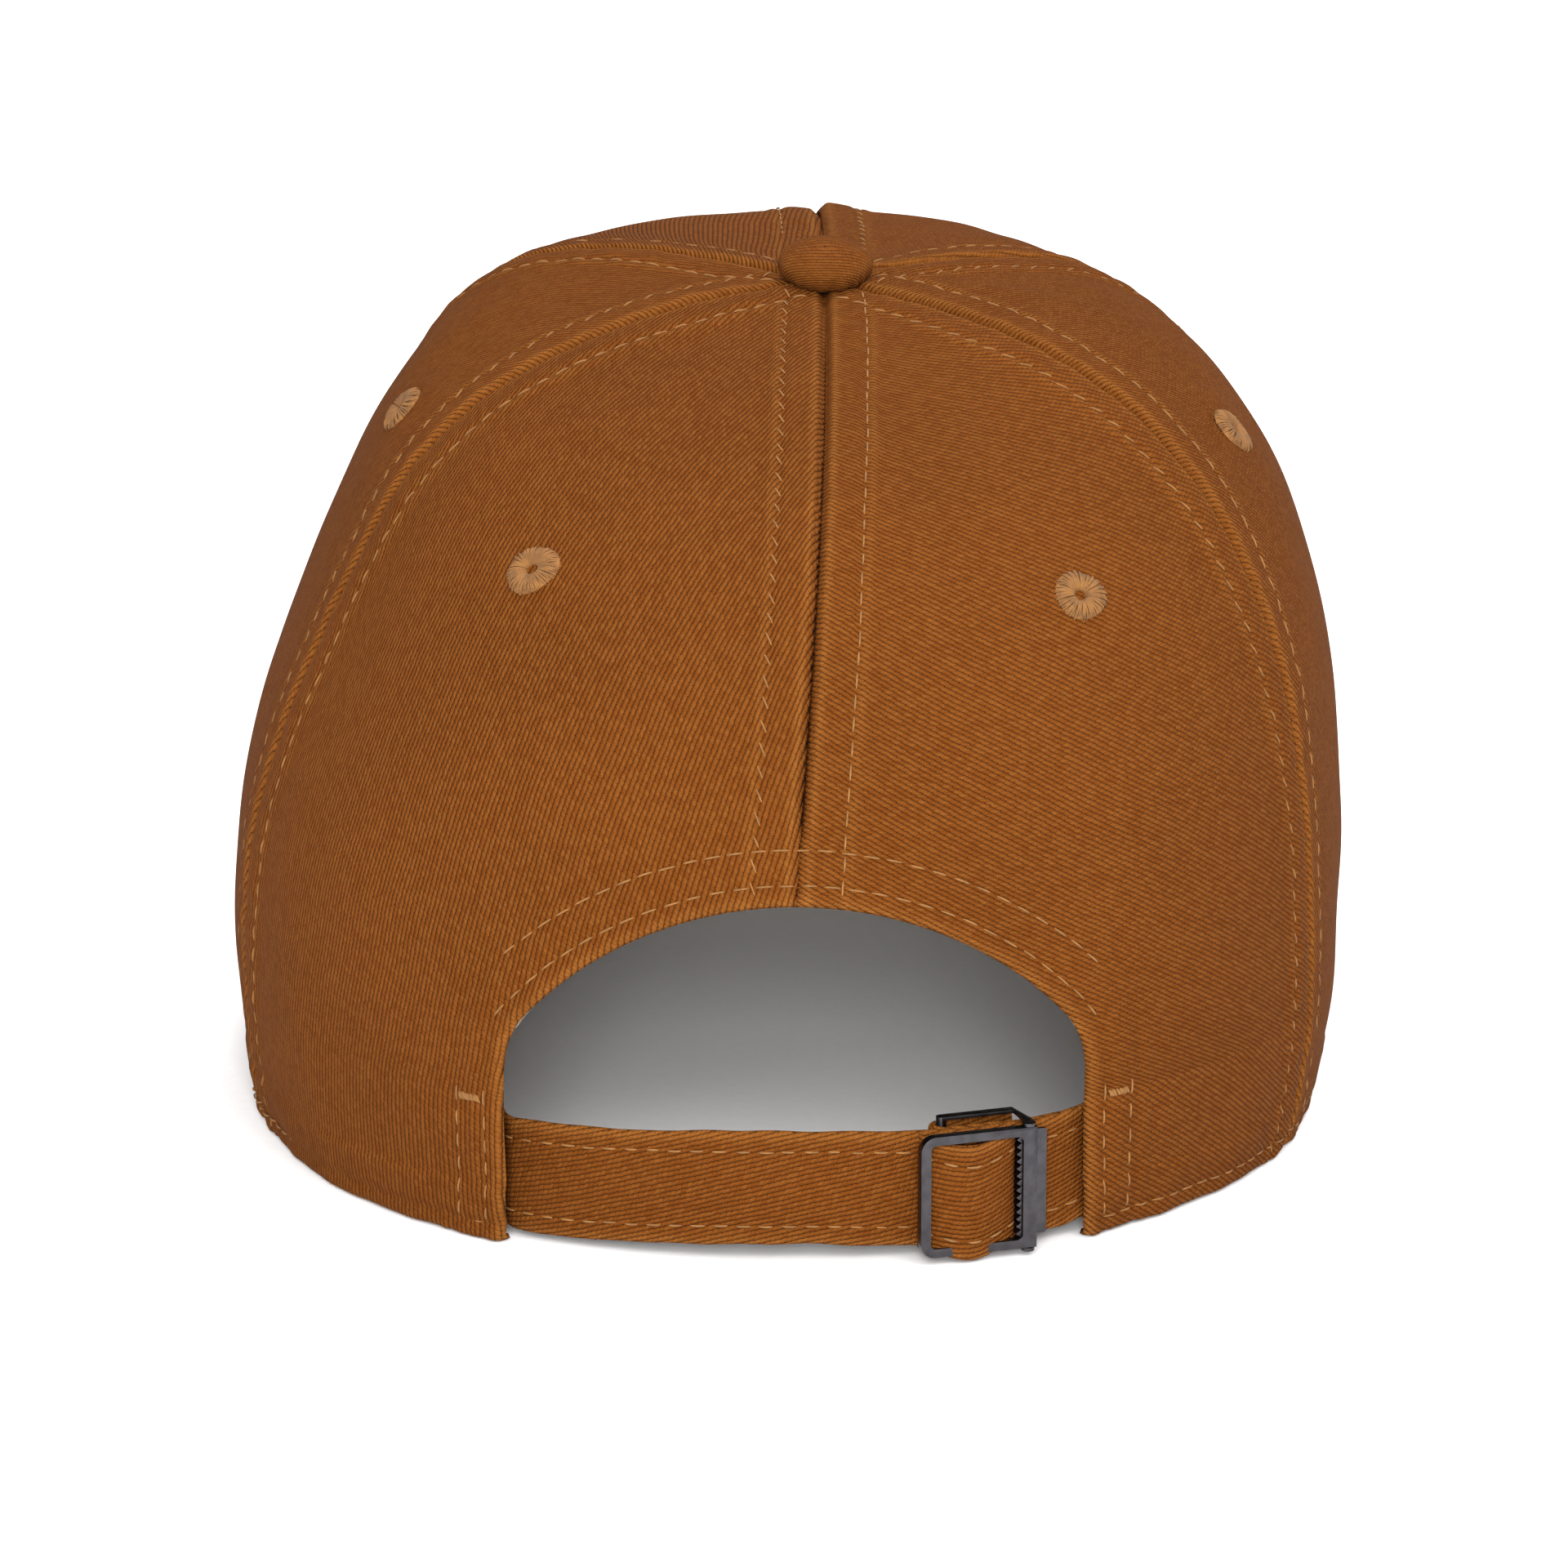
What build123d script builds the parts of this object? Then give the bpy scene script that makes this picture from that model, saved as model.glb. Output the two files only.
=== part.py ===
"""Six-panel baseball cap with a curved visor and a toothed flip-clamp back strap.

Millimetres. +Z is up and the visor points towards -Y. The origin is the centre of
the head opening, on the plane of the hem. The wearer's left is +X.
"""
from build123d import *
from math import asin, atan2, cos, degrees, hypot, radians, sin, sqrt
import os

os.makedirs("parts", exist_ok=True)

# --- Crown: a stack of tilted ovals -------------------------------------------------
HEM_HALF_WIDTH = 87.0       # head opening, centre to side
HEM_LONGER = 11.0           # how much longer than wide the opening is, per half
SIDE_FLATTER = 2.0          # half width minus the radius of the front and rear arcs
CROWN_HEIGHT = 130.0        # hem plane to the flat under the button
BELT_HEIGHT = 24.0          # where the crown is widest
BELT_SWELL = 1.0414         # width there, as a multiple of the hem's
PROFILE_POWER = 2.6         # superellipse power of the wall above the belt
TOP_SHIFT = 8.0             # how far the top sits forward of the hem's centre
TOP_TILT = 8.0              # how far the top leans back, in degrees
TOP_FLAT_ANGLE = 87.9       # profile angle at which the wall ends under the button
SHIFT_POWER = 1.5           # how the forward shift grows with height
TILT_POWER = 0.6            # how the tilt grows with height
WALL_STEPS = (0.0, 10.0, 20.0, 30.0, 40.0, 50.0, 60.0, 69.0, 77.0, 83.5, TOP_FLAT_ANGLE)

# --- Cloth layers, outside to inside ------------------------------------------------
PANEL_THICK = 0.8
PLY_GAP = 0.05              # air between plies that lie on each other
BUCKRAM_THICK = 0.7
TAPE_THICK = 0.5
TAPE_WIDTH = 12.0
TAPE_CLEAR = 1.0            # buckram stops this far from the seam tape
FACING_THICK = 0.6
FACING_WIDTH = 10.0
PANEL_COUNT = 6
PANEL_ANGLE = 360.0 / PANEL_COUNT

# --- Head band ----------------------------------------------------------------------
BAND_LOW = 1.0
BAND_HIGH = 33.0
BAND_THICK = 1.2
BAND_CLEAR = 0.4            # short strap to the band
PAD_THICK = 2.6
PAD_LOW = 4.0
PAD_HIGH = 30.0
INNER_LIFT = 1.5            # inner layers stop this far above the front hem
PAD_LIFT = 3.0              # and the pad this far
BAND_END_GAP = 3.0          # degrees from the opening's edge to the band's end
PAD_BACK = 5.0              # the pad stops this far in front of the hem's centre

# --- Back opening -------------------------------------------------------------------
OPENING_HALF_WIDTH = 44.0
OPENING_TOP = 56.5
OPENING_ARC_RADIUS = 53.6
OPENING_CORNER_RADIUS = 10.0

# --- Straps, on arcs about the rear arc's own axis ----------------------------------
STRAP_LOW = 2.2
STRAP_WIDTH = 17.8
STRAP_CLEAR = 0.35          # facing to the long strap
LONG_STRAP_THICK = 1.5
STRAP_GAP = 0.3
SHORT_STRAP_THICK = 1.3
STRAP_SEWN = 11.0           # degrees of long strap hidden at its sewn end
TAIL_HIDDEN = 24.0          # degrees of its tail inside the pocket
STRAP_TRAVEL = 35.0         # degrees the buckle can slide along the long strap
POCKET_SPARE = 4.0          # degrees of short strap still hidden at full travel

# --- Buckle, in its own frame: u along the strap, w outwards, z up -------------------
BUCKLE_ANGLE = 18.4
BAR_RADIUS = 0.8
BAR_CLEAR = 0.15
BAR_U = -3.5
FOLD_BACK = 12.0            # length of short strap sewn back on itself
CHEEK_THICK = 0.5
CHEEK_CLEAR = 0.1           # cheek to clamp frame, up and down
FLANGE_CLEAR = 0.4          # long strap to flange
FLANGE_THICK = 0.7
FLANGE_U0 = 7.8
FLANGE_U1 = 11.6
FLANGE_CORNER = 0.4
FLANGE_SIDE = 1.2           # how much narrower the flange is at each end than the frame
FRAME_CLEAR = 0.9           # flange to clamp frame
FRAME_THICK = 1.6
FRAME_OVER = 0.65           # frame beyond the strap's edges, up and down
FRAME_U0 = -9.3
FRAME_U1 = 9.2
FRAME_CORNER = 2.4
FRAME_ARM = 1.35
FRAME_LEFT_BAR = 1.6
WINDOW_CORNER = 0.8
TOOTH_BAR_U = 7.0
TOOTH_LENGTH = 0.8
TOOTH_PITCH = 1.15
TOOTH_STRAP_GAP = 0.3
TOOTH_ROOT = 0.5
HINGE_U = 8.1
PIN_RADIUS = 0.5
PIN_CLEAR = 0.05
PIN_BITE = 1.1              # how far each pin reaches into the clamp frame
EAR_RADIUS = 1.0

# --- Visor --------------------------------------------------------------------------
VISOR_BRIM = 70.0           # crown's front to the visor's tip
VISOR_NARROWER = 1.0        # per side, than the hem
VISOR_WIDEST = 58.0         # how far forward of the centre it is widest
VISOR_BOARD = 2.0
VISOR_COVER = 0.7
VISOR_EDGE = 1.6            # cover beyond the board, where the two covers are sewn
VISOR_RADIUS = 236.0        # its bend across the head
VISOR_SLOPE = 0.05          # drop per millimetre forward
VISOR_BEHIND = 15.0         # the visor itself begins this much further forward
VISOR_START = 10.0          # visor and raised front hem begin this far forward

# --- Button and eyelets -------------------------------------------------------------
BUTTON_RADIUS = 7.9
BUTTON_HEIGHT = 5.7
BUTTON_RIM = 3.4            # radius of its rounded edge
BUTTON_COVER = 0.7
BUTTON_SHELL = 0.6
TACK_RADIUS = 1.1
TACK_CLEAR = 0.2
TACK_HEAD_RADIUS = 5.0
TACK_HEAD_THICK = 0.7
TAPE_END_RADIUS = 7.0
EYELET_RADIUS = 4.4
EYELET_HOLE = 1.0
EYELET_BARREL = 1.9
EYELET_PROUD = 0.45
EYELET_ANGLE = 45.0         # profile angle of the eyelet ring

# --- Worked out from the above ------------------------------------------------------
HEM_HALF_LENGTH = HEM_HALF_WIDTH + HEM_LONGER
END_RADIUS = HEM_HALF_WIDTH - SIDE_FLATTER
END_CENTRE = HEM_HALF_LENGTH - END_RADIUS
SIDE_CENTRE = (END_CENTRE**2 - SIDE_FLATTER**2) / (2 * SIDE_FLATTER)
SIDE_RADIUS = HEM_HALF_WIDTH + SIDE_CENTRE
TANGENT = degrees(atan2(SIDE_CENTRE, END_CENTRE))
STRAP_HIGH = STRAP_LOW + STRAP_WIDTH
LONG_STRAP_OUTER = END_RADIUS - PANEL_THICK - PLY_GAP - FACING_THICK - STRAP_CLEAR
SHORT_STRAP_OUTER = LONG_STRAP_OUTER - LONG_STRAP_THICK - STRAP_GAP
BAR_W = SHORT_STRAP_OUTER - SHORT_STRAP_THICK - BAR_CLEAR - BAR_RADIUS
BAND_INSET = END_RADIUS - SHORT_STRAP_OUTER + SHORT_STRAP_THICK + BAND_CLEAR
FLANGE_INNER = LONG_STRAP_OUTER + FLANGE_CLEAR
FRAME_INNER = FLANGE_INNER + FLANGE_THICK + FRAME_CLEAR
FRAME_LOW = STRAP_LOW - FRAME_OVER
FRAME_HIGH = STRAP_HIGH + FRAME_OVER
HINGE_W = FRAME_INNER + FRAME_THICK / 2
BUCKRAM_INSET = PANEL_THICK + PLY_GAP
TAPE_INSET = BUCKRAM_INSET
OPENING_EDGE_ANGLE = degrees(asin(OPENING_HALF_WIDTH / END_RADIUS))
LONG_STRAP_START = -OPENING_EDGE_ANGLE - STRAP_SEWN
LONG_STRAP_END = OPENING_EDGE_ANGLE + TAIL_HIDDEN
SHORT_STRAP_END = OPENING_EDGE_ANGLE + STRAP_TRAVEL + POCKET_SPARE
VISOR_HALF_WIDTH = HEM_HALF_WIDTH - VISOR_NARROWER
VISOR_REACH = HEM_HALF_LENGTH + VISOR_BRIM
FAR = 300.0                 # larger than anything in the cap
BELOW = -10.0               # cutters start here, under the hem plane
VISOR_TALLEST = 80.0        # more than the visor's height


def visor_drop(ahead):
    """How far the visor's edge lies under its crest at the hem, this far forward."""
    part = (ahead - VISOR_WIDEST) / (VISOR_REACH - VISOR_WIDEST)
    across = VISOR_HALF_WIDTH * sqrt(1 - max(part, 0) ** 2)
    bend = VISOR_RADIUS - sqrt(VISOR_RADIUS**2 - across**2)
    return bend + VISOR_SLOPE * (ahead - VISOR_START)


# The visor's lowest edge rests on the hem plane, and the front hem meets its underside.
VISOR_CREST = max(visor_drop(ahead) for ahead in range(int(VISOR_WIDEST), int(VISOR_REACH)))
FRONT_RISE = VISOR_CREST - VISOR_SLOPE * (HEM_HALF_LENGTH - VISOR_START)


def wall_point(angle):
    """Height share and width share of the wall at a profile angle in degrees."""
    power = 2 / PROFILE_POWER
    return sin(radians(angle)) ** power, BELT_SWELL * cos(radians(angle)) ** power


def wall_normal(angle):
    """Outward and upward parts of the wall's normal at a profile angle."""
    if angle == 0:
        return 1.0, 0.0
    power = 2 / PROFILE_POWER
    across = HEM_HALF_WIDTH * BELT_SWELL
    up = CROWN_HEIGHT - BELT_HEIGHT
    s, c = sin(radians(angle)), cos(radians(angle))
    out_part = up * s ** (power - 1) * c
    up_part = across * c ** (power - 1) * s
    size = hypot(out_part, up_part)
    return out_part / size, up_part / size


def section_plane(height, share, lower=0.0):
    """Plane of the oval at a height, where share runs from 0 at the belt to 1."""
    tilt = radians(TOP_TILT * share**TILT_POWER)
    ahead = TOP_SHIFT * share**SHIFT_POWER
    return Plane(
        origin=(0, -ahead, height - lower),
        x_dir=(1, 0, 0),
        z_dir=(0, sin(tilt), cos(tilt)),
    )


def oval(scale, inset):
    """Closed four-arc oval of the hem's shape, scaled and then drawn in by inset."""
    end_r = END_RADIUS * scale - inset
    side_r = SIDE_RADIUS * scale - inset
    end_c = END_CENTRE * scale
    side_c = SIDE_CENTRE * scale
    with BuildLine() as outline:
        CenterArc((0, end_c), end_r, 90 - TANGENT, 2 * TANGENT)
        CenterArc((side_c, 0), side_r, 90 + TANGENT, 180 - 2 * TANGENT)
        CenterArc((0, -end_c), end_r, 270 - TANGENT, 2 * TANGENT)
        CenterArc((-side_c, 0), side_r, TANGENT - 90, 180 - 2 * TANGENT)
    make_face(outline.edges())


def crown_body(inset, mode=Mode.ADD):
    """Solid of the crown, drawn in by inset, from the hem to the flat on top."""
    sections = []
    for height in (0.0, BELT_HEIGHT / 2):
        scale = 1 + (BELT_SWELL - 1) * (1 - (1 - height / BELT_HEIGHT) ** 2)
        with BuildSketch(Plane.XY.offset(height), mode=Mode.PRIVATE) as section:
            oval(scale, inset)
        sections.append(section.sketch)
    for angle in WALL_STEPS:
        share, scale = wall_point(angle)
        out_part, up_part = wall_normal(angle)
        height = BELT_HEIGHT + (CROWN_HEIGHT - BELT_HEIGHT) * share
        plane = section_plane(height, share, inset * up_part)
        with BuildSketch(plane, mode=Mode.PRIVATE) as section:
            oval(scale, inset * out_part)
        sections.append(section.sketch)
    loft(sections=sections, mode=mode)


APEX_SHARE = wall_point(TOP_FLAT_ANGLE)[0]
APEX_HEIGHT = BELT_HEIGHT + (CROWN_HEIGHT - BELT_HEIGHT) * APEX_SHARE
APEX_PLANE = section_plane(APEX_HEIGHT, APEX_SHARE)
APEX_Y = -TOP_SHIFT * APEX_SHARE**SHIFT_POWER


def wedge(middle, half_angle, setback=0.0, mode=Mode.INTERSECT):
    """Upright wedge about the apex, in degrees from the rear towards the wearer's right."""
    tip = setback / sin(radians(half_angle))
    turn = radians(90 + middle)
    origin = (tip * cos(turn), APEX_Y + tip * sin(turn))
    edges = [radians(90 + middle + side * half_angle) for side in (-1, 1)]
    far = [(origin[0] + FAR * cos(a), origin[1] + FAR * sin(a)) for a in edges]
    with BuildSketch(Plane.XY.offset(BELOW)) as section:
        with BuildLine():
            Polyline(origin, far[0], far[1], close=True)
        make_face()
    extrude(section.sketch, amount=FAR, mode=mode)


def opening_outline(grow=0.0):
    """Back opening seen along Y: two upright sides, an arc on top and eased corners."""
    half = OPENING_HALF_WIDTH + grow
    radius = OPENING_ARC_RADIUS + grow
    middle = OPENING_TOP - OPENING_ARC_RADIUS
    shoulder = middle + sqrt(radius**2 - half**2)
    with BuildLine() as outline:
        Line((-half, shoulder), (-half, BELOW))
        Line((-half, BELOW), (half, BELOW))
        Line((half, BELOW), (half, shoulder))
        ThreePointArc((half, shoulder), (0, OPENING_TOP + grow), (-half, shoulder))
    face = make_face(outline.edges())
    fillet(face.vertices().group_by(Axis.Y)[-1], OPENING_CORNER_RADIUS + grow)


REAR_VIEW = Plane(origin=(0, 0, 0), x_dir=(-1, 0, 0), z_dir=(0, 1, 0))
FRONT_VIEW = Plane(origin=(0, -VISOR_START, 0), x_dir=(1, 0, 0), z_dir=(0, -1, 0))


def cut_back_opening():
    """Takes the back opening out of what stands behind the head."""
    with BuildSketch(REAR_VIEW) as opening:
        opening_outline()
    extrude(opening.sketch, amount=FAR, mode=Mode.SUBTRACT)


def cut_front_hem(lift=0.0):
    """Raises the front hem along the arc that the visor is sewn to."""
    with BuildSketch(FRONT_VIEW) as below:
        with BuildLine():
            ThreePointArc(
                (-HEM_HALF_WIDTH, lift), (0, FRONT_RISE + lift), (HEM_HALF_WIDTH, lift)
            )
            Polyline(
                (HEM_HALF_WIDTH, lift),
                (FAR, lift),
                (FAR, BELOW),
                (-FAR, BELOW),
                (-FAR, lift),
                (-HEM_HALF_WIDTH, lift),
            )
        make_face()
    extrude(below.sketch, amount=FAR, mode=Mode.SUBTRACT)


def eyelet_plane(middle):
    """Plane on the wall at the middle of a panel, facing outwards."""
    share, scale = wall_point(EYELET_ANGLE)
    out_part, up_part = wall_normal(EYELET_ANGLE)
    height = BELT_HEIGHT + (CROWN_HEIGHT - BELT_HEIGHT) * share
    ring = section_plane(height, share)
    best = None
    for step in range(721):
        normal = radians(90 + middle - 30 + step / 12)
        turn = degrees(normal) % 360
        if abs(turn - 90) < TANGENT:
            centre, radius = (0, END_CENTRE), END_RADIUS
        elif abs(turn - 270) < TANGENT:
            centre, radius = (0, -END_CENTRE), END_RADIUS
        elif 90 < turn < 270:
            centre, radius = (SIDE_CENTRE, 0), SIDE_RADIUS
        else:
            centre, radius = (-SIDE_CENTRE, 0), SIDE_RADIUS
        x = scale * (centre[0] + radius * cos(normal))
        y = scale * (centre[1] + radius * sin(normal))
        miss = abs(((degrees(atan2(y, x)) - 90 - middle + 180) % 360) - 180)
        if best is None or miss < best[0]:
            best = (miss, x, y, normal)
    _, x, y, normal = best
    local = (out_part * cos(normal), out_part * sin(normal), up_part)
    point = ring.from_local_coords(Vector(x, y, 0))
    facing = ring.from_local_coords(Vector(x, y, 0) + Vector(*local)) - point
    return Plane(origin=point, x_dir=Vector(0, 0, 1).cross(facing), z_dir=facing)


def punch_eyelet(middle):
    """Hole through the layers for one eyelet's barrel."""
    with BuildSketch(eyelet_plane(middle).offset(-FACING_WIDTH)) as hole:
        Circle(EYELET_BARREL)
    extrude(hole.sketch, amount=2 * FACING_WIDTH, mode=Mode.SUBTRACT)


def punch_tack():
    """Hole through the crown's top for the button's tack."""
    with BuildSketch(APEX_PLANE.offset(-FACING_WIDTH)) as hole:
        Circle(TACK_RADIUS + TACK_CLEAR)
    extrude(hole.sketch, amount=2 * FACING_WIDTH, mode=Mode.SUBTRACT)


def arc_band(inner, outer, start, end):
    """Flat sector about the rear arc's axis, in degrees from the rear."""
    centre = (0, END_CENTRE)
    turns = [radians(90 + angle) for angle in (start, end)]
    corners = [
        (r * cos(t), END_CENTRE + r * sin(t)) for t in turns for r in (inner, outer)
    ]
    with BuildLine() as outline:
        CenterArc(centre, inner, 90 + start, end - start)
        CenterArc(centre, outer, 90 + start, end - start)
        Line(corners[0], corners[1])
        Line(corners[2], corners[3])
    make_face(outline.edges())


def finish(part, name):
    """Labels one piece and writes it."""
    part.label = name
    export_step(part, f"parts/{name}.step")


# Panel name, and its middle in degrees from the rear towards the wearer's right.
PANELS = {
    "back_panel_right": 30,
    "side_panel_right": 90,
    "front_panel_right": 150,
    "front_panel_left": 210,
    "side_panel_left": 270,
    "back_panel_left": 330,
}
SEAMS = {
    "back_seam_tape": 0,
    "back_side_seam_tape_right": 60,
    "front_side_seam_tape_right": 120,
    "front_seam_tape": 180,
    "front_side_seam_tape_left": 240,
    "back_side_seam_tape_left": 300,
}

# --- Crown panels -------------------------------------------------------------------
with BuildPart() as panel_layer:
    crown_body(0)
    crown_body(PANEL_THICK, mode=Mode.SUBTRACT)
    punch_tack()

panels = {}
for name, middle in PANELS.items():
    with BuildPart() as panel:
        add(panel_layer.part)
        wedge(middle, PANEL_ANGLE / 2)
        if name.startswith("back"):
            cut_back_opening()
        if not name.startswith("back"):
            cut_front_hem()
        punch_eyelet(middle)
    panels[name] = panel.part
    finish(panel.part, name)

# --- Buckram stiffener behind each front panel --------------------------------------
buckrams = {}
for side, middle in (("right", 150), ("left", 210)):
    with BuildPart() as buckram:
        crown_body(BUCKRAM_INSET)
        crown_body(BUCKRAM_INSET + BUCKRAM_THICK, mode=Mode.SUBTRACT)
        wedge(middle, PANEL_ANGLE / 2, setback=TAPE_WIDTH / 2 + TAPE_CLEAR)
        cut_front_hem(lift=INNER_LIFT)
        punch_eyelet(middle)
    buckrams[f"front_panel_{side}"] = buckram.part
    finish(buckram.part, f"buckram_{side}")

# --- Tape over each seam, inside ----------------------------------------------------
with BuildPart() as tape_layer:
    crown_body(TAPE_INSET)
    crown_body(TAPE_INSET + TAPE_THICK, mode=Mode.SUBTRACT)
    with BuildSketch(APEX_PLANE.offset(-FACING_WIDTH)):
        Circle(TAPE_END_RADIUS)
    extrude(amount=2 * FACING_WIDTH, mode=Mode.SUBTRACT)

for name, middle in SEAMS.items():
    with BuildPart() as tape:
        add(tape_layer.part)
        wedge(middle, PANEL_ANGLE / 2)
        across = Vector(1, 0, 0).rotate(Axis.Z, middle)
        with BuildSketch(Plane(origin=(0, APEX_Y, BELOW), x_dir=across, z_dir=(0, 0, 1))):
            Rectangle(TAPE_WIDTH, 2 * FAR)
        extrude(amount=FAR, mode=Mode.INTERSECT)
        if middle == 0:
            with BuildSketch(REAR_VIEW):
                opening_outline(FACING_WIDTH + TAPE_CLEAR)
            extrude(amount=FAR, mode=Mode.SUBTRACT)
        if abs(middle - 180) < 90:
            cut_front_hem(lift=INNER_LIFT)
    finish(tape.part, name)

# --- Facing round the back opening --------------------------------------------------
with BuildPart() as arch_facing:
    crown_body(BUCKRAM_INSET)
    crown_body(BUCKRAM_INSET + FACING_THICK, mode=Mode.SUBTRACT)
    with BuildSketch(REAR_VIEW):
        opening_outline(FACING_WIDTH)
    extrude(amount=FAR, mode=Mode.INTERSECT)
    cut_back_opening()
finish(arch_facing.part, "arch_facing")

# --- Head band and its pad ----------------------------------------------------------
with BuildPart() as sweatband:
    with BuildSketch(Plane.XY.offset(BAND_LOW)):
        oval(1, BAND_INSET)
    extrude(amount=BAND_HIGH - BAND_LOW)
    with BuildSketch(Plane.XY.offset(BAND_LOW)):
        oval(1, BAND_INSET + BAND_THICK)
    extrude(amount=BAND_HIGH - BAND_LOW, mode=Mode.SUBTRACT)
    with BuildSketch(Plane.XY.offset(BAND_LOW)):
        arc_band(END_RADIUS / 2, FAR, -OPENING_EDGE_ANGLE - BAND_END_GAP, OPENING_EDGE_ANGLE + BAND_END_GAP)
    extrude(amount=BAND_HIGH, mode=Mode.SUBTRACT)
    cut_front_hem(lift=INNER_LIFT)
finish(sweatband.part, "sweatband")

with BuildPart() as sweatband_pad:
    with BuildSketch(Plane.XY.offset(PAD_LOW)):
        oval(1, BAND_INSET - PLY_GAP - PAD_THICK)
    extrude(amount=PAD_HIGH - PAD_LOW)
    with BuildSketch(Plane.XY.offset(PAD_LOW)):
        oval(1, BAND_INSET - PLY_GAP)
    extrude(amount=PAD_HIGH - PAD_LOW, mode=Mode.SUBTRACT)
    with BuildSketch(Plane.XY.offset(PAD_LOW)):
        with Locations((0, FAR - PAD_BACK)):
            Rectangle(2 * FAR, 2 * FAR)
    extrude(amount=PAD_HIGH, mode=Mode.SUBTRACT)
    cut_front_hem(lift=PAD_LIFT)
finish(sweatband_pad.part, "sweatband_pad")

# --- Visor --------------------------------------------------------------------------
VISOR_PLANE = Plane(
    origin=(0, -VISOR_START, 0), x_dir=(1, 0, 0), z_dir=(0, -1, -VISOR_SLOPE)
)
VISOR_THICK = VISOR_BOARD + 2 * VISOR_COVER


def visor_slab(low, high, edge_inset, mode=Mode.ADD):
    """Bent slab of the visor between two heights above its underside."""
    centre = (0, VISOR_CREST - VISOR_RADIUS)
    with BuildSketch(VISOR_PLANE) as bend:
        with Locations(centre):
            Circle(VISOR_RADIUS + high)
            Circle(VISOR_RADIUS + low, mode=Mode.SUBTRACT)
        Rectangle(FAR, VISOR_RADIUS / 2, mode=Mode.INTERSECT)
    extrude(bend.sketch, amount=VISOR_REACH - BELOW)
    with BuildSketch(Plane.XY.offset(BELOW)) as plan:
        with Locations((0, -VISOR_WIDEST)):
            Ellipse(VISOR_HALF_WIDTH - edge_inset, VISOR_REACH - VISOR_WIDEST - edge_inset)
        with Locations((0, -VISOR_WIDEST + FAR / 2)):
            Rectangle(2 * (VISOR_HALF_WIDTH - edge_inset), FAR)
    extrude(plan.sketch, amount=VISOR_TALLEST, mode=Mode.INTERSECT)
    crown_body(-PLY_GAP, mode=Mode.SUBTRACT)
    with BuildSketch(Plane.XY.offset(BELOW)) as behind:
        with Locations((0, FAR - VISOR_START - VISOR_BEHIND)):
            Rectangle(2 * FAR, 2 * FAR)
    extrude(behind.sketch, amount=VISOR_TALLEST, mode=Mode.SUBTRACT)


BOARD_LOW = VISOR_COVER + PLY_GAP
BOARD_HIGH = VISOR_THICK - VISOR_COVER - PLY_GAP
with BuildPart() as visor_board:
    visor_slab(BOARD_LOW, BOARD_HIGH, VISOR_EDGE)
finish(visor_board.part, "visor_board")

with BuildPart() as board_pocket:
    visor_slab(VISOR_COVER, VISOR_THICK - VISOR_COVER, VISOR_EDGE - PLY_GAP)

for name, low, high in (
    ("visor_under_cover", 0, VISOR_THICK / 2),
    ("visor_top_cover", VISOR_THICK / 2, VISOR_THICK),
):
    with BuildPart() as cover:
        visor_slab(low, high, 0)
        add(board_pocket.part, mode=Mode.SUBTRACT)
    finish(cover.part, name)

# --- Button: cloth over a metal shell, held by a tack -------------------------------
BUTTON_PROFILE = Plane(
    origin=APEX_PLANE.origin,
    x_dir=(1, 0, 0),
    z_dir=Vector(1, 0, 0).cross(APEX_PLANE.z_dir),
)
BUTTON_AXIS = Axis(APEX_PLANE.origin, APEX_PLANE.z_dir)


RIM_X = BUTTON_RADIUS - BUTTON_RIM
RIM_RISE = BUTTON_HEIGHT - PLY_GAP
TOP_RADIUS = (RIM_X**2 + RIM_RISE**2 - BUTTON_RIM**2) / (2 * (RIM_RISE - BUTTON_RIM))
TOP_CENTRE = BUTTON_HEIGHT - TOP_RADIUS
RIM_TURN = degrees(atan2(PLY_GAP - TOP_CENTRE, RIM_X))


def dome(skin, thick):
    """Dome of two tangent arcs turned about the button's axis, skin inside the outermost."""
    with BuildSketch(BUTTON_PROFILE) as section:
        with BuildLine():
            for inset in (skin, skin + thick):
                CenterArc((RIM_X, PLY_GAP), BUTTON_RIM - inset, 0, RIM_TURN)
                CenterArc((0, TOP_CENTRE), TOP_RADIUS - inset, RIM_TURN, 90 - RIM_TURN)
            Line((0, BUTTON_HEIGHT - skin), (0, BUTTON_HEIGHT - skin - thick))
            Line((BUTTON_RADIUS - skin, PLY_GAP), (BUTTON_RADIUS - skin - thick, PLY_GAP))
        make_face()
    revolve(section.sketch, axis=BUTTON_AXIS)


with BuildPart() as button_cover:
    dome(0, BUTTON_COVER)
finish(button_cover.part, "button_cover")

with BuildPart() as button_shell:
    dome(BUTTON_COVER + PLY_GAP, BUTTON_SHELL)
finish(button_shell.part, "button_shell")

TACK_TOP = BUTTON_HEIGHT - BUTTON_COVER - BUTTON_SHELL - 3 * PLY_GAP
with BuildPart() as button_tack:
    with BuildSketch(APEX_PLANE.offset(-PANEL_THICK - 2 * PLY_GAP)):
        Circle(TACK_RADIUS)
    extrude(amount=TACK_TOP + PANEL_THICK)
    with BuildSketch(APEX_PLANE.offset(-PANEL_THICK - 2 * PLY_GAP)):
        Circle(TACK_HEAD_RADIUS)
    extrude(amount=-TACK_HEAD_THICK)
finish(button_tack.part, "button_tack")

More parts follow.
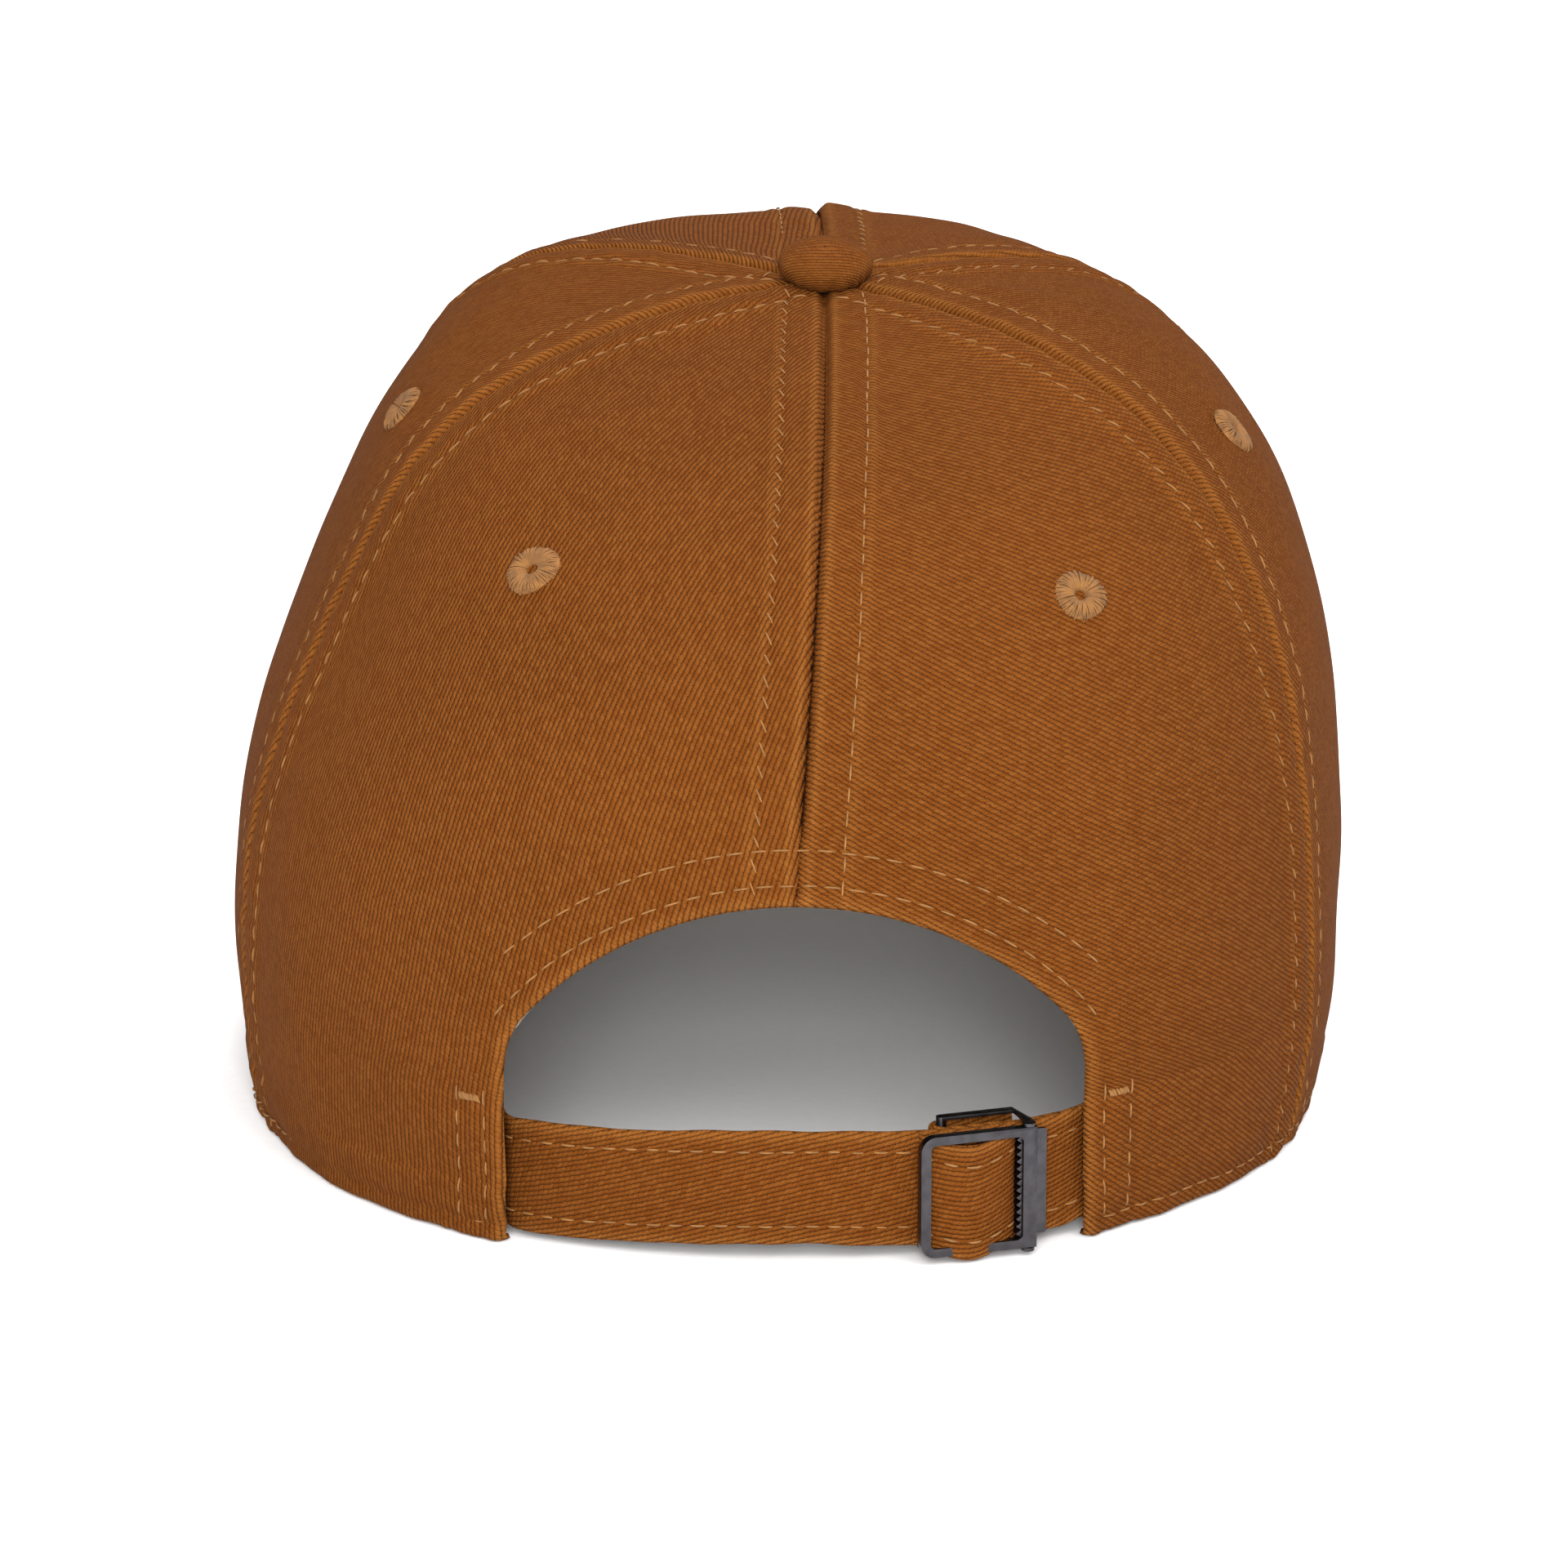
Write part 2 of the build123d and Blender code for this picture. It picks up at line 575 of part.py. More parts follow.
# --- Sewn eyelets -------------------------------------------------------------------
for name, middle in PANELS.items():
    depth = PANEL_THICK + EYELET_PROUD
    if name in buckrams:
        depth += BUCKRAM_THICK + PLY_GAP
    with BuildPart() as eyelet:
        with BuildSketch(eyelet_plane(middle).offset(-depth)):
            Circle(EYELET_RADIUS)
            Circle(EYELET_HOLE, mode=Mode.SUBTRACT)
        extrude(amount=depth + EYELET_PROUD)
        add(panels[name], mode=Mode.SUBTRACT)
        if name in buckrams:
            add(buckrams[name], mode=Mode.SUBTRACT)
    finish(eyelet.part, name.replace("panel", "eyelet"))

# --- Long strap, sewn in on the left, its tail tucked in on the right ---------------
with BuildPart() as long_strap:
    with BuildSketch(Plane.XY.offset(STRAP_LOW)):
        arc_band(
            LONG_STRAP_OUTER - LONG_STRAP_THICK,
            LONG_STRAP_OUTER,
            LONG_STRAP_START,
            LONG_STRAP_END,
        )
    extrude(amount=STRAP_WIDTH)
finish(long_strap.part, "long_strap")

# --- Buckle -------------------------------------------------------------------------
BUCKLE_TURN = radians(90 + BUCKLE_ANGLE)


def buckle_point(u, w):
    """Place in plan of a point u along the strap and w out from the strap's axis."""
    return (
        w * cos(BUCKLE_TURN) - u * sin(BUCKLE_TURN),
        END_CENTRE + w * sin(BUCKLE_TURN) + u * cos(BUCKLE_TURN),
    )


def buckle_face(w):
    """Upright plane square to the buckle, w out from the strap's axis."""
    x, y = buckle_point(0, w)
    along = (-sin(BUCKLE_TURN), cos(BUCKLE_TURN), 0)
    outward = (cos(BUCKLE_TURN), sin(BUCKLE_TURN), 0)
    return Plane(origin=(x, y, 0), x_dir=along, z_dir=outward)


BAR_AT = buckle_point(BAR_U, BAR_W)
LOOP_INNER = BAR_RADIUS + BAR_CLEAR
BAR_DISTANCE = hypot(BAR_AT[0], BAR_AT[1] - END_CENTRE)
BAR_ANGLE = degrees(atan2(BAR_AT[1] - END_CENTRE, BAR_AT[0])) - 90
FOLD_END = BAR_ANGLE + degrees(FOLD_BACK / BAR_DISTANCE)

# The short strap loops round the middle bar and is sewn back on itself.
with BuildPart() as short_strap:
    with BuildSketch(Plane.XY.offset(STRAP_LOW)):
        arc_band(
            BAR_DISTANCE + LOOP_INNER,
            BAR_DISTANCE + LOOP_INNER + SHORT_STRAP_THICK,
            BAR_ANGLE,
            SHORT_STRAP_END,
        )
        arc_band(
            BAR_DISTANCE - LOOP_INNER - SHORT_STRAP_THICK,
            BAR_DISTANCE - LOOP_INNER,
            BAR_ANGLE,
            FOLD_END,
        )
        with BuildLine():
            CenterArc(BAR_AT, LOOP_INNER, 90 + BAR_ANGLE, -180)
            CenterArc(BAR_AT, LOOP_INNER + SHORT_STRAP_THICK, 90 + BAR_ANGLE, -180)
            turn = radians(90 + BAR_ANGLE)
            for side in (-1, 1):
                near, far = side * LOOP_INNER, side * (LOOP_INNER + SHORT_STRAP_THICK)
                Line(
                    (BAR_AT[0] + near * cos(turn), BAR_AT[1] + near * sin(turn)),
                    (BAR_AT[0] + far * cos(turn), BAR_AT[1] + far * sin(turn)),
                )
        make_face()
    extrude(amount=STRAP_WIDTH)
finish(short_strap.part, "short_strap")

# Base: one folded sheet with a front flange, two cheeks and the middle bar.
CHEEKS = (FRAME_LOW - CHEEK_CLEAR - CHEEK_THICK, FRAME_HIGH + CHEEK_CLEAR)
with BuildPart() as buckle_base:
    for low in CHEEKS:
        with BuildSketch(Plane.XY.offset(low)):
            with BuildLine():
                Polyline(
                    buckle_point(FLANGE_U0, FLANGE_INNER + FLANGE_THICK),
                    buckle_point(FLANGE_U0, BAR_W + BAR_RADIUS),
                    buckle_point(BAR_U, BAR_W + BAR_RADIUS),
                    buckle_point(BAR_U, BAR_W - BAR_RADIUS),
                    buckle_point(HINGE_U, BAR_W - BAR_RADIUS),
                    buckle_point(HINGE_U + EAR_RADIUS, FLANGE_INNER + FLANGE_THICK),
                    buckle_point(HINGE_U + EAR_RADIUS, HINGE_W),
                    buckle_point(HINGE_U - EAR_RADIUS, HINGE_W),
                    buckle_point(FLANGE_U0, FLANGE_INNER + FLANGE_THICK),
                    close=True,
                )
            make_face()
            with Locations(buckle_point(HINGE_U, HINGE_W)):
                Circle(EAR_RADIUS)
                Circle(PIN_RADIUS, mode=Mode.SUBTRACT)
            with Locations(BAR_AT):
                Circle(BAR_RADIUS)
        extrude(amount=CHEEK_THICK)
    with BuildSketch(Plane.XY.offset(CHEEKS[0])):
        with Locations(BAR_AT):
            Circle(BAR_RADIUS)
    extrude(amount=CHEEKS[1] + CHEEK_THICK - CHEEKS[0])
    with BuildSketch(buckle_face(FLANGE_INNER)):
        width = HINGE_U + EAR_RADIUS - FLANGE_U0
        height = CHEEKS[1] + CHEEK_THICK - CHEEKS[0]
        with Locations((FLANGE_U0 + width / 2, CHEEKS[0] + height / 2)):
            Rectangle(width, height)
        tail = FLANGE_U1 - FLANGE_U0
        tall = FRAME_HIGH - FRAME_LOW - 2 * FLANGE_SIDE
        with Locations((FLANGE_U0 + tail / 2, (FRAME_HIGH + FRAME_LOW) / 2)):
            RectangleRounded(tail, tall, FLANGE_CORNER)
    extrude(amount=FLANGE_THICK)
finish(buckle_base.part, "buckle_base")

with BuildPart() as hinge_pins:
    for start, reach in (
        (CHEEKS[0], CHEEK_THICK + CHEEK_CLEAR + PIN_BITE),
        (FRAME_HIGH - PIN_BITE, CHEEK_THICK + CHEEK_CLEAR + PIN_BITE),
    ):
        with BuildSketch(Plane.XY.offset(start)):
            with Locations(buckle_point(HINGE_U, HINGE_W)):
                Circle(PIN_RADIUS)
        extrude(amount=reach)
finish(hinge_pins.part, "hinge_pins")

# Clamp frame: an open ring whose right-hand bar carries the teeth.
FRAME_TALL = FRAME_HIGH - FRAME_LOW
FRAME_MIDDLE = (FRAME_HIGH + FRAME_LOW) / 2
WINDOW_U0 = FRAME_U0 + FRAME_LEFT_BAR
TOOTH_COUNT = int((FRAME_TALL - 2 * FRAME_ARM) / TOOTH_PITCH)
TEETH_TALL = TOOTH_PITCH * TOOTH_COUNT
TOOTH_TIP_W = LONG_STRAP_OUTER + TOOTH_STRAP_GAP
with BuildPart() as clamp_frame:
    with BuildSketch(buckle_face(FRAME_INNER)) as outline:
        with Locations(((FRAME_U0 + FRAME_U1) / 2, FRAME_MIDDLE)):
            Rectangle(FRAME_U1 - FRAME_U0, FRAME_TALL)
        fillet(outline.vertices().group_by(Axis.X)[0], FRAME_CORNER)
        with Locations(((WINDOW_U0 + TOOTH_BAR_U) / 2, FRAME_MIDDLE)):
            RectangleRounded(
                TOOTH_BAR_U - WINDOW_U0,
                FRAME_TALL - 2 * FRAME_ARM,
                WINDOW_CORNER,
                mode=Mode.SUBTRACT,
            )
    extrude(amount=FRAME_THICK)
    with BuildSketch(buckle_face(TOOTH_TIP_W)):
        with BuildLine():
            low = FRAME_MIDDLE - TEETH_TALL / 2
            teeth = [(TOOTH_BAR_U + TOOTH_ROOT, low)]
            for tooth in range(TOOTH_COUNT):
                teeth.append((TOOTH_BAR_U, low + tooth * TOOTH_PITCH))
                teeth.append((TOOTH_BAR_U - TOOTH_LENGTH, low + (tooth + 0.5) * TOOTH_PITCH))
            teeth.append((TOOTH_BAR_U, low + TEETH_TALL))
            teeth.append((TOOTH_BAR_U + TOOTH_ROOT, low + TEETH_TALL))
            Polyline(*teeth, close=True)
        make_face()
    extrude(amount=FRAME_INNER + FRAME_THICK / 2 - TOOTH_TIP_W)
    for start in (FRAME_LOW, FRAME_HIGH - PIN_BITE - CHEEK_CLEAR):
        with BuildSketch(Plane.XY.offset(start)):
            with Locations(buckle_point(HINGE_U, HINGE_W)):
                Circle(PIN_RADIUS + PIN_CLEAR)
        extrude(amount=PIN_BITE + CHEEK_CLEAR, mode=Mode.SUBTRACT)
finish(clamp_frame.part, "clamp_frame")
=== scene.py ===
"""A six-panel structured cotton cap with a curved visor and a toothed clamp buckle on its back strap."""

import logging
from dataclasses import dataclass, field
from enum import Enum
from typing import Callable, Optional, Sequence

import bmesh
import bpy
import numpy as np
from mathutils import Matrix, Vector

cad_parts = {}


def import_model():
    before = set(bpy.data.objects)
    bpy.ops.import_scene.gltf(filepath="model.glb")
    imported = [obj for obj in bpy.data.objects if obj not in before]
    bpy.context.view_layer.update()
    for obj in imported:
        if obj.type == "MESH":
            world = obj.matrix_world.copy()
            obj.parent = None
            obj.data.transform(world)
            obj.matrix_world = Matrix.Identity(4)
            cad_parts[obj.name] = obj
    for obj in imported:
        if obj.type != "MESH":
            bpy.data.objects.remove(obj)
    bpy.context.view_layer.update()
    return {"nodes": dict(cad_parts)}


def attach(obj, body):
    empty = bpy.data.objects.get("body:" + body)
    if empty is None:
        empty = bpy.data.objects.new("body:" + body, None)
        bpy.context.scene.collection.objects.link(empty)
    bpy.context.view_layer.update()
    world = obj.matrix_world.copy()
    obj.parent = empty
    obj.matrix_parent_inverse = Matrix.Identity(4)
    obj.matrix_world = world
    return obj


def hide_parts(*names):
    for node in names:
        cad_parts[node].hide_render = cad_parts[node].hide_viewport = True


LOG = logging.getLogger("cap")
MM = 0.001
Array = np.ndarray


class Body(Enum):
    """CAD bodies that pieces ride on."""

    CAP = "cap_body"
    BUCKLE = "buckle"
    CLAMP = "clamp_frame"


class Slot(Enum):
    """Material slots of the record."""

    CANVAS = "canvas"
    THREAD = "thread"
    TAPE = "tape"
    BUCKRAM = "buckram"
    BAND = "sweatband_cloth"
    FOAM = "foam"
    BOARD = "board"
    METAL = "gunmetal"
    STEEL = "button_steel"


class Held(Enum):
    """How a sheet of cloth is held."""

    STRETCHED = "stretched"
    FOLDED = "folded"


# --- Small numpy tools ----------------------------------------------------------------


def unit(vectors: Array) -> Array:
    """Vectors divided by their own length."""
    return vectors / np.maximum(np.linalg.norm(vectors, axis=-1, keepdims=True), 1e-12)


def hump(value: Array, centre: float, width: float) -> Array:
    """Bell curve: e to the minus square of the distance from centre over width."""
    return np.exp(-(((value - centre) / width) ** 2))


def ease(value: Array, low: float, high: float) -> Array:
    """Smooth step from 0 at low to 1 at high: 3 t squared minus 2 t cubed."""
    t = np.clip((value - low) / (high - low), 0, 1)
    return t * t * (3 - 2 * t)


def drift(u: Array, v: Array, length: float, seed: int) -> Array:
    """Gentle unevenness between about -1 and 1: a sum of six sine waves in seeded directions.

    Args:
        u: First coordinate, in the unit of length.
        v: Second coordinate.
        length: Mean wavelength.
        seed: Number that picks the waves.

    Returns:
        One value for each point.
    """
    rng = np.random.default_rng(seed)
    total = np.zeros(np.broadcast(u, v).shape)
    for angle, phase, stretch in rng.uniform((0, 0, 0.7), (np.pi, 2 * np.pi, 1.6), (6, 3)):
        turn = 2 * np.pi / (length * stretch)
        total = total + np.sin(turn * (u * np.cos(angle) + v * np.sin(angle)) + phase)
    return total / 3.0


def along(points: Array) -> Array:
    """Running length of a line of points."""
    steps = np.linalg.norm(np.diff(points, axis=0), axis=1)
    return np.concatenate([[0.0], np.cumsum(steps)])


def at_length(points: Array, run: Array, where: Array) -> Array:
    """Points of a line at given running lengths, by straight interpolation."""
    return np.stack([np.interp(where, run, points[:, k]) for k in range(3)], axis=-1)


def turned(u: Array, v: Array, degrees: float) -> Array:
    """Cloth coordinates turned so that the weave's cords run along a direction."""
    turn = np.radians(degrees)
    return np.stack([u * np.sin(turn) - v * np.cos(turn), u * np.cos(turn) + v * np.sin(turn)], axis=-1)


def spokes(angle: Array, first: Array, second: Array) -> Array:
    """Directions at angles from the first of two crossed directions towards the second."""
    return np.cos(angle)[:, None] * first + np.sin(angle)[:, None] * second


def half_ellipse(share: Array) -> Array:
    """Height of half an ellipse, 0 at shares 0 and 1 and 1 half way."""
    return np.sqrt(np.clip(1 - (2 * share - 1) ** 2, 0, 1))


def quads(rows: int, columns: int, start: int = 0, closed: bool = False) -> Array:
    """Faces of a grid of points stored row by row.

    Args:
        rows: Number of rows.
        columns: Number of points in a row.
        start: Index of the first point.
        closed: Whether each row joins up with its own start.

    Returns:
        Four indices for each face.
    """
    row = np.arange(rows - 1)[:, None]
    column = np.arange(columns if closed else columns - 1)[None, :]
    after = (column + 1) % columns
    near = start + row * columns
    corners = [near + column, near + after, near + columns + after, near + columns + column]
    return np.stack(corners, axis=-1).reshape(-1, 4)


def spaced(count: int, edge: float, gather: float = 3.0) -> Array:
    """Shares from 0 to 1, closer together within edge of each end.

    Args:
        count: Number of values.
        edge: Share at each end that is more closely divided.
        gather: How many times closer.

    Returns:
        Rising shares from 0 to 1.
    """
    fine = np.linspace(0, 1, 2001)
    weight = 1 + (gather - 1) * (1 - ease(np.minimum(fine, 1 - fine), edge * 0.8, edge * 1.4))
    total = np.concatenate([[0], np.cumsum((weight[1:] + weight[:-1]) / 2)])
    return np.interp(np.linspace(0, 1, count), total / total[-1], fine)


# --- Meshes -----------------------------------------------------------------------------


@dataclass
class Patch:
    """A grid of points with the place of each in its cloth.

    Attributes:
        points: Rows by columns by 3, in metres.
        cloth: Rows by columns by 2, in metres along and across the weave.
        wear_and_highlight: Rows by columns, 0 fresh to 1 rubbed; the cloth is painted lighter there, for
            edge wear together with painted highlight on raised edges.
    """

    points: Array
    cloth: Optional[Array] = None
    wear_and_highlight: Optional[Array] = None


def new_piece(
    name: str,
    patches: Sequence[Patch],
    material: bpy.types.Material,
    outward_from: Optional[Sequence[float]] = None,
    closed: bool = False,
    caps: bool = False,
    weld: float = 1e-6,
) -> bpy.types.Object:
    """Makes one mesh object from grids.

    Args:
        name: Piece name.
        patches: Grids, welded where they meet.
        material: Its finish.
        outward_from: A point inside; faces are turned to look away from it.
        closed: Whether each row joins up with its own start.
        caps: Whether the first and last rows are filled.
        weld: Distance under which points become one.

    Returns:
        The object, at the origin.
    """
    points, faces, cloth, wear_and_highlight, start = [], [], [], [], 0
    for patch in patches:
        rows, columns = patch.points.shape[:2]
        faces += quads(rows, columns, start, closed).tolist()
        if caps:
            faces.append(list(range(start, start + columns))[::-1])
            faces.append(list(range(start + (rows - 1) * columns, start + rows * columns)))
        points.append(patch.points.reshape(-1, 3))
        flat = patch.points[..., :2] if patch.cloth is None else patch.cloth
        cloth.append(np.broadcast_to(flat, (rows, columns, 2)).reshape(-1, 2))
        worn_and_lit = np.zeros((rows, columns)) if patch.wear_and_highlight is None else patch.wear_and_highlight
        wear_and_highlight.append(np.broadcast_to(worn_and_lit, (rows, columns)).reshape(-1))
        start += rows * columns
    return finish_mesh(
        name,
        np.concatenate(points),
        faces,
        material,
        np.concatenate(cloth),
        np.concatenate(wear_and_highlight),
        outward_from,
        weld,
    )


def finish_mesh(
    name: str,
    points: Array,
    faces: list[list[int]],
    material: bpy.types.Material,
    cloth: Optional[Array] = None,
    wear_and_highlight: Optional[Array] = None,
    outward_from: Optional[Sequence[float]] = None,
    weld: float = 0.0,
) -> bpy.types.Object:
    """Turns points and faces into an object with cloth coordinates and a mask of edge wear and painted
    highlight.

    Args:
        name: Piece name.
        points: Points in metres.
        faces: Point indices of each face.
        material: Its finish.
        cloth: Cloth coordinates of each point.
        wear_and_highlight: Edge wear and painted highlight of each point.
        outward_from: A point inside, to turn the faces away from.
        weld: Distance under which points become one, 0 for none.

    Returns:
        The object.
    """
    mesh = bpy.data.meshes.new(name)
    mesh.from_pydata(points.tolist(), [], faces)
    if cloth is not None:
        layer = mesh.uv_layers.new(name="cloth")
        corner = np.zeros(len(mesh.loops), np.int32)
        mesh.loops.foreach_get("vertex_index", corner)
        layer.data.foreach_set("uv", cloth[corner].astype(np.float32).ravel())
    if wear_and_highlight is not None:
        rubbed_and_lit = mesh.attributes.new("wear_and_highlight", "FLOAT", "POINT")
        rubbed_and_lit.data.foreach_set("value", wear_and_highlight.astype(np.float32))
    if weld > 0 or outward_from is not None:
        work = bmesh.new()
        work.from_mesh(mesh)
        if weld > 0:
            bmesh.ops.remove_doubles(work, verts=work.verts, dist=weld)
        if outward_from is not None:
            middle = Vector(outward_from)
            signs = sum(
                face.calc_area() * face.normal.dot(face.calc_center_median() - middle)
                for face in work.faces
            )
            if signs < 0:
                bmesh.ops.reverse_faces(work, faces=work.faces)
        work.to_mesh(mesh)
        work.free()
    mesh.shade_smooth()
    mesh.materials.append(material)
    piece = bpy.data.objects.new(name, mesh)
    bpy.context.scene.collection.objects.link(piece)
    return piece


def thicken(piece: bpy.types.Object, thick: float, offset: float = -1.0) -> None:
    """Gives a surface a wall, in metres, inwards by default."""
    wall = piece.modifiers.new("wall", "SOLIDIFY")
    wall.thickness = thick
    wall.offset = offset
    wall.use_quality_normals = True


def settle(
    piece: bpy.types.Object,
    body: Body,
    replaced: Sequence[str] = (),
) -> bpy.types.Object:
    """Fixes a finished piece to its body and hides the CAD nodes it replaces."""
    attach(piece, body.value)
    if replaced:
        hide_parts(*replaced)
    LOG.info("%s: %d faces, rides on %s", piece.name, len(piece.data.polygons), body.value)
    return piece


# --- Finishes ---------------------------------------------------------------------------


def paint(red: float, green: float, blue: float) -> tuple[float, float, float, float]:
    """Linear colour of a screen colour given from 0 to 255."""
    parts = []
    for value in (red, green, blue):
        share = value / 255
        parts.append(share / 12.92 if share <= 0.04045 else ((share + 0.055) / 1.055) ** 2.4)
    return (parts[0], parts[1], parts[2], 1.0)


class Graph:
    """A node tree being written."""

    def __init__(self, tree: bpy.types.NodeTree) -> None:
        """Starts writing in tree."""
        self.tree = tree

    def put(self, kind: str, inputs: Optional[dict] = None, **settings: object) -> bpy.types.Node:
        """Adds a node.

        Args:
            kind: Node type without its leading word Shader.
            inputs: Value or socket for each input, by name or number.
            **settings: Node properties.

        Returns:
            The node.
        """
        node = self.tree.nodes.new("Shader" + kind)
        for key, value in settings.items():
            setattr(node, key, value)
        for key, value in (inputs or {}).items():
            if isinstance(value, bpy.types.NodeSocket):
                self.tree.links.new(value, node.inputs[key])
            else:
                node.inputs[key].default_value = value
        return node

    def calc(self, operation: str, *values: object) -> bpy.types.NodeSocket:
        """Result of one Math node."""
        return self.put("NodeMath", dict(enumerate(values)), operation=operation).outputs[0]

    def step(self, value: object, low: float, high: float) -> bpy.types.NodeSocket:
        """Smooth step from 0 at low to 1 at high."""
        inputs = {"Value": value, "From Min": low, "From Max": high}
        node = self.put("NodeMapRange", inputs, interpolation_type="SMOOTHSTEP")
        return node.outputs["Result"]

    def noise(self, place: object, scale: float, detail: float = 2.0) -> bpy.types.NodeSocket:
        """Smooth noise from 0 to 1 at scale, in 1 over metres."""
        inputs = {"Vector": place, "Scale": scale, "Detail": detail}
        return self.put("NodeTexNoise", inputs).outputs[0]

    def mix(self, share: object, first: object, second: object, way: str = "MIX") -> bpy.types.NodeSocket:
        """Second colour over the first."""
        node = self.put("NodeMix", {0: share, 6: first, 7: second}, data_type="RGBA", blend_type=way)
        return node.outputs[2]


def new_group(name: str, inputs: Sequence[tuple[str, str, float]], outputs: Sequence[str]) -> Graph:
    """Starts a shader node group with named sockets.

    Args:
        name: Group name.
        inputs: Name, kind and default of each input.
        outputs: Names of the outputs, all values.

    Returns:
        The graph; its nodes named into and out are the group's two ends.
    """
    tree = bpy.data.node_groups.new(name, "ShaderNodeTree")
    for label, kind, value in inputs:
        socket = tree.interface.new_socket(label, in_out="INPUT", socket_type="NodeSocket" + kind)
        if kind == "Float":
            socket.default_value = value
    for label in outputs:
        tree.interface.new_socket(label, in_out="OUTPUT", socket_type="NodeSocketFloat")
    graph = Graph(tree)
    tree.nodes.new("NodeGroupInput").name = "into"
    tree.nodes.new("NodeGroupOutput").name = "out"
    return graph


def twill_group() -> bpy.types.NodeTree:
    """Twill: rounded cords side by side along the second cloth axis, each a row of slanted floats.

    A cord's height is the sine of its share across. Floats meet at slanted joints, set off from
    cord to cord, and the corner between two cords and two floats is a small pit. The grooves
    between cords and, more deeply, the pits are where the material paints shade.

    Returns:
        The group, with outputs Height, the pit mask, Groove and Tone; the pit and groove masks mark where
        the material paints shade.
    """
    sockets = [("Cloth", "Vector", 0), ("Cord", "Float", 0.00105), ("Float", "Float", 0.0012)]
    g = new_group("twill_weave", sockets, ["Height", "PitShade", "Groove", "Tone"])
    into, out = g.tree.nodes["into"], g.tree.nodes["out"]
    place = into.outputs["Cloth"]
    split = g.put("NodeSeparateXYZ", {0: place})
    sway = g.calc("MULTIPLY", g.calc("SUBTRACT", g.noise(place, 70, 1), 0.5), 0.9)
    fine = g.calc("MULTIPLY", g.calc("SUBTRACT", g.noise(place, 900, 1), 0.5), 0.35)
    cords = g.calc("DIVIDE", split.outputs[0], into.outputs["Cord"])
    across = g.calc("ADD", cords, g.calc("ADD", sway, fine))
    cord = g.calc("FLOOR", across)
    share = g.calc("FRACT", across)
    ridge = g.calc("POWER", g.calc("SINE", g.calc("MULTIPLY", share, 3.14159)), 0.75)
    chance = g.put("NodeTexWhiteNoise", {"W": cord}, noise_dimensions="1D").outputs[0]
    slant = g.calc("MULTIPLY", g.calc("SUBTRACT", share, 0.5), 0.6)
    run = g.calc("ADD", g.calc("DIVIDE", split.outputs[1], into.outputs["Float"]), slant)
    run = g.calc("ADD", run, g.calc("ADD", g.calc("MULTIPLY", cord, 0.37), g.calc("MULTIPLY", chance, 0.35)))
    joint = g.calc("ABSOLUTE", g.calc("SUBTRACT", g.calc("MULTIPLY", g.calc("FRACT", run), 2), 1))
    notch = g.step(joint, 0.5, 1.0)
    groove = g.calc("SUBTRACT", 1.0, ridge)
    # Pit mask: where shade is painted into the corners between cords and floats.
    pit_shade = g.step(g.calc("MULTIPLY", g.calc("ADD", groove, 0.25), notch), 0.42, 0.95)
    height = g.calc("MULTIPLY", ridge, g.calc("SUBTRACT", 1.0, g.calc("MULTIPLY", notch, 0.4)))
    hair = g.calc("MULTIPLY", g.noise(place, 5200, 2), 0.35)
    both = g.put("NodeCombineXYZ", {0: cord, 1: g.calc("FLOOR", run)})
    yarn = g.put("NodeTexWhiteNoise", {"Vector": both.outputs[0]}, noise_dimensions="2D").outputs[0]
    for label, value in (
        ("Height", g.calc("ADD", height, hair)),
        ("PitShade", pit_shade),
        ("Groove", g.calc("POWER", groove, 1.6)),
        ("Tone", yarn),
    ):
        g.tree.links.new(value, out.inputs[label])
    return g.tree


@dataclass(frozen=True)
class Finish:
    """A plain dielectric or metal finish with fine unevenness.

    Attributes:
        name: Material name.
        colour: Linear colour.
        rough: Roughness.
        metal: 1 for bare metal.
        grain: Size of the unevenness, in metres.
        relief: Depth of the unevenness, in metres.
        shade: How far the colour varies.
    """

    name: str
    colour: tuple[float, float, float, float]
    rough: float = 0.6
    metal: float = 0.0
    grain: float = 0.0008
    relief: float = 0.00003
    shade: float = 0.15
    sheen: float = 0.0

    def material(self) -> bpy.types.Material:
        """The Blender material of this finish."""
        made = bpy.data.materials.new(self.name)
        made.use_nodes = True
        g = Graph(made.node_tree)
        shader = made.node_tree.nodes["Principled BSDF"]
        shader.inputs["Metallic"].default_value = self.metal
        shader.inputs["Sheen Weight"].default_value = self.sheen
        place = g.put("NodeTexCoord").outputs["Object"]
        cloud = g.noise(place, 0.35 / self.grain, 3)
        fine = g.noise(place, 1 / self.grain, 3)
        dark = tuple(c * (1 - self.shade) for c in self.colour[:3]) + (1.0,)
        light = tuple(min(1.0, c * (1 + self.shade)) for c in self.colour[:3]) + (1.0,)
        tint = g.mix(g.step(cloud, 0.3, 0.7), dark, light)
        rough = g.calc("ADD", self.rough - 0.08, g.calc("MULTIPLY", fine, 0.16))
        bump = g.put("NodeBump", {"Strength": 1.0, "Distance": self.relief, "Height": fine})
        made.node_tree.links.new(tint, shader.inputs["Base Color"])
        made.node_tree.links.new(rough, shader.inputs["Roughness"])
        made.node_tree.links.new(bump.outputs[0], shader.inputs["Normal"])
        return made


